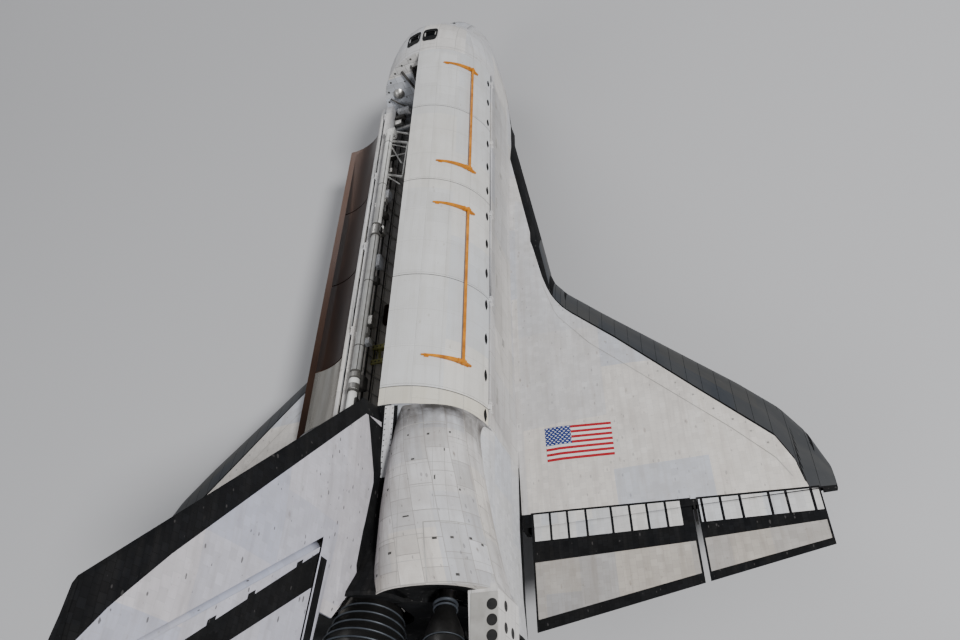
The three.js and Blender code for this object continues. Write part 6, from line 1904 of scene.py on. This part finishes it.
def nose_point(station, turn, lift=0.0):
    """A point of the nose at a station and a turn, with the table read straight between its rows."""
    row = [np.interp(station, NOSE_TABLE[:, 0], NOSE_TABLE[:, k]) for k in range(1, 7)]
    half, top, bottom, middle, arch, square = row
    y, z = hoop(0.0, half + lift, top + lift, bottom - lift, middle, arch, square, np.asarray(turn, float))
    return np.stack([station + 0 * y, y, z], -1)


def nose_normal(station, turn):
    """The way the skin faces: the cross product of a step round the loft and a step along it."""
    round_step = nose_point(station, turn + 0.01) - nose_point(station, turn - 0.01)
    along = nose_point(station + 20, turn) - nose_point(station - 20, turn)
    return unit(np.cross(along, round_step) * -1)


def nose_mouth(station, degrees, radius):
    """A nozzle mouth: a dark disc just above the skin, painted shade of its hollow over its dark throat."""
    turn = math.radians(degrees)
    normal = nose_normal(station, turn)
    centre = nose_point(station, turn)
    if normal[1] * centre[1] + normal[2] * (centre[2] + 1500) < 0:
        normal = -normal
    return disc(centre + 16 * normal, normal, radius)


NOSE_MOUTHS = [
    # station, turn in degrees, radius
    (1950, 78, 92), (1950, 90, 92), (1950, 102, 92), (1500, 80, 74), (1500, 90, 74), (1500, 100, 74),
    (2350, 12, 86), (2700, 12, 86), (2350, 168, 86), (2700, 168, 86),
]
mouth_discs = [nose_mouth(*row) for row in NOSE_MOUTHS]
piece("nose_mouths", mouth_discs, "airframe", [STUFF["mouth_black_and_shade"]], "black_tile", merge=0.0)


def roof_frame(side):
    """The dark frame round a roof window: a rounded rectangle whose height follows the roof."""
    ring = window_ring((0, 0, 0), (1, 0, 0), (0, 1, 0), (440, 345), (225, 262), 5)
    spots = ring["points"]
    reach = np.clip((np.abs(spots[:, 0]) - 225) / 215, 0, 1)
    station = 7350 + spots[:, 0] + np.where(spots[:, 0] > 0, 190, -60) * reach
    y = side * 402 + spots[:, 1]
    half, top, middle = [np.interp(station, NOSE_TABLE[:, 0], NOSE_TABLE[:, k]) for k in (1, 2, 4)]
    z = middle + (top - middle) * np.sqrt(np.maximum(0, 1 - (y / half) ** 2)) + 14
    return dict(ring, points=np.stack([station, y, z], -1))


FRONT_PANES = [
    # station, y, z, width, height, yaw, pitch
    (4830, 400, 1360, 640, 900, 5, 48), (4960, 1130, 1180, 560, 860, 32, 44),
    (5330, 1740, 920, 600, 700, 62, 30),
]


def pane_frame(station, y, z, width, height, yaw, pitch, side):
    """The dark frame of a windscreen pane, on the pane's own plane and a little in front of it."""
    yaw, pitch = math.radians(yaw), math.radians(pitch)
    across = np.array([math.sin(yaw), side * math.cos(yaw), 0.0])
    ahead = np.array([-math.cos(yaw), side * math.sin(yaw), 0.0])
    normal = math.cos(pitch) * ahead + np.array([0.0, 0.0, math.sin(pitch)])
    up = np.cross(normal, across)
    return window_ring(np.array([station, side * y, z]) + 34 * normal, across, up,
                       (width / 2 + 80, height / 2 + 80), (width / 2 - 30, height / 2 - 30), 5)


window_frames = [roof_frame(side) for side in (-1, 1)]
window_frames += [pane_frame(*row, side) for row in FRONT_PANES for side in (-1, 1)]
piece("window_frames", window_frames, "airframe", [SKIN["black_tile"]], "black_tile")
print("nose mouths", len(mouth_discs), "window frames", len(window_frames))

# %% [markdown]
# ## Seams on the nose and the sides
# Thin grey lines part the nose's panels over its upper half: behind the nose cap, round the thruster module
# and before the bay. Small vent doors lie along the sides.

# %% Seams and vents
NOSE_SEAMS = (1320.0, 3510.0, 4300.0, 6200.0, 8590.0)
SEAM_TURNS = np.radians(np.linspace(4, 176, 90))
SEAM_WIDTH = 12.0
VENTS = [
    # station, length, z, height
    (9900, 520, -260, 150), (12600, 620, -260, 150), (16400, 620, -260, 150), (20500, 620, -260, 150),
    (25400, 620, -260, 150), (14300, 260, -900, 260), (18700, 200, -700, 200), (23000, 300, -1000, 240),
]


def nose_ring(station):
    """A thin strip over the nose's upper half."""
    points = np.stack([nose_point(s, SEAM_TURNS, 5.0) for s in (station, station + SEAM_WIDTH)])
    return patch(points, points[..., 1:] / 1000)


nose_seams = [nose_ring(s) for s in NOSE_SEAMS]
vents = [block((s, 2666, z), (s + long, 2675, z + tall), 3) for s, long, z, tall in VENTS]
piece("nose_seams", nose_seams, "airframe", [STUFF["seal_grey"]], "white_blanket")
both_sides("vents", vents, "airframe", [STUFF["seal_grey"]], "white_blanket", outward=True)
print("seams", len(nose_seams), "vents", 2 * len(vents))

# %% [markdown]
# ## Bands on the engine bells
# An engine's bell is stiffened by hoops. They are rings about the bell's axis, which is tilted, so each is
# worked out on three axes square to one another.

# %% Engine hoops
ORBITAL_BELL = np.array([(980, 430), (1900, 577)], float)
MAIN_HOOPS = [(depth, np.interp(depth, BELL[:, 0], BELL[:, 1]) + 6, 22)
              for depth in (2250, 2500, 2750, 2990, 3220, 3440, 3650, 3840, 3960)]
ORBITAL_HOOPS = [(depth, np.interp(depth, ORBITAL_BELL[:, 0], ORBITAL_BELL[:, 1]) + 8, 12)
                 for depth in (1260, 1880)]
ORBITAL_HOOPS += [(300, 262, 40), (420, 270, 26)]
ENGINES = [
    # node, origin, pitch and yaw in degrees, hoops as (depth, radius, thickness)
    ("upper_main_engine", SWING_ORIGIN, 16, 0, MAIN_HOOPS),
    ("port_main_engine", (31297, 1346, -1457), 10, 3.5, MAIN_HOOPS),
    ("starboard_main_engine", (31297, -1346, -1457), 10, -3.5, MAIN_HOOPS),
    ("port_orbital_engine", ORBITAL_ENGINE, 15.8, 6.5, ORBITAL_HOOPS),
    ("starboard_orbital_engine", np.multiply(ORBITAL_ENGINE, (1, -1, 1)), 15.8, -6.5, ORBITAL_HOOPS),
]


def engine_axes(pitch, yaw):
    """An engine's axis and two directions square to it."""
    pitch, yaw = math.radians(pitch), math.radians(yaw)
    axis = np.array([math.cos(pitch) * math.cos(yaw), math.cos(pitch) * math.sin(yaw), math.sin(pitch)])
    side = np.array([-math.sin(yaw), math.cos(yaw), 0.0])
    return axis, side, np.cross(axis, side)


def engine_ring(origin, axes, depth, radius, thick):
    """A ring about the axis: a small circle carried round a large one."""
    axis, side, up = axes
    round_turn, small_turn = grid(np.linspace(0, 2 * math.pi, 49), np.linspace(0, 2 * math.pi, 9))
    out = np.cos(round_turn)[..., None] * side + np.sin(round_turn)[..., None] * up
    reach = radius + thick * np.cos(small_turn)
    points = origin + (depth + thick * np.sin(small_turn))[..., None] * axis + reach[..., None] * out
    return patch(points, np.stack([round_turn * radius / 1000, small_turn * thick / 1000], -1))


for node, origin, pitch, yaw, rows in ENGINES:
    hoops = [engine_ring(origin, engine_axes(pitch, yaw), *row) for row in rows]
    piece(node + "_hoops", hoops, NODE_BODY[node], [STUFF["bell_bands"]], "bare_metal", outward=True)
print("engine hoops", sum(len(rows) for node, origin, pitch, yaw, rows in ENGINES))

# %% The end
bpy.context.view_layer.update()
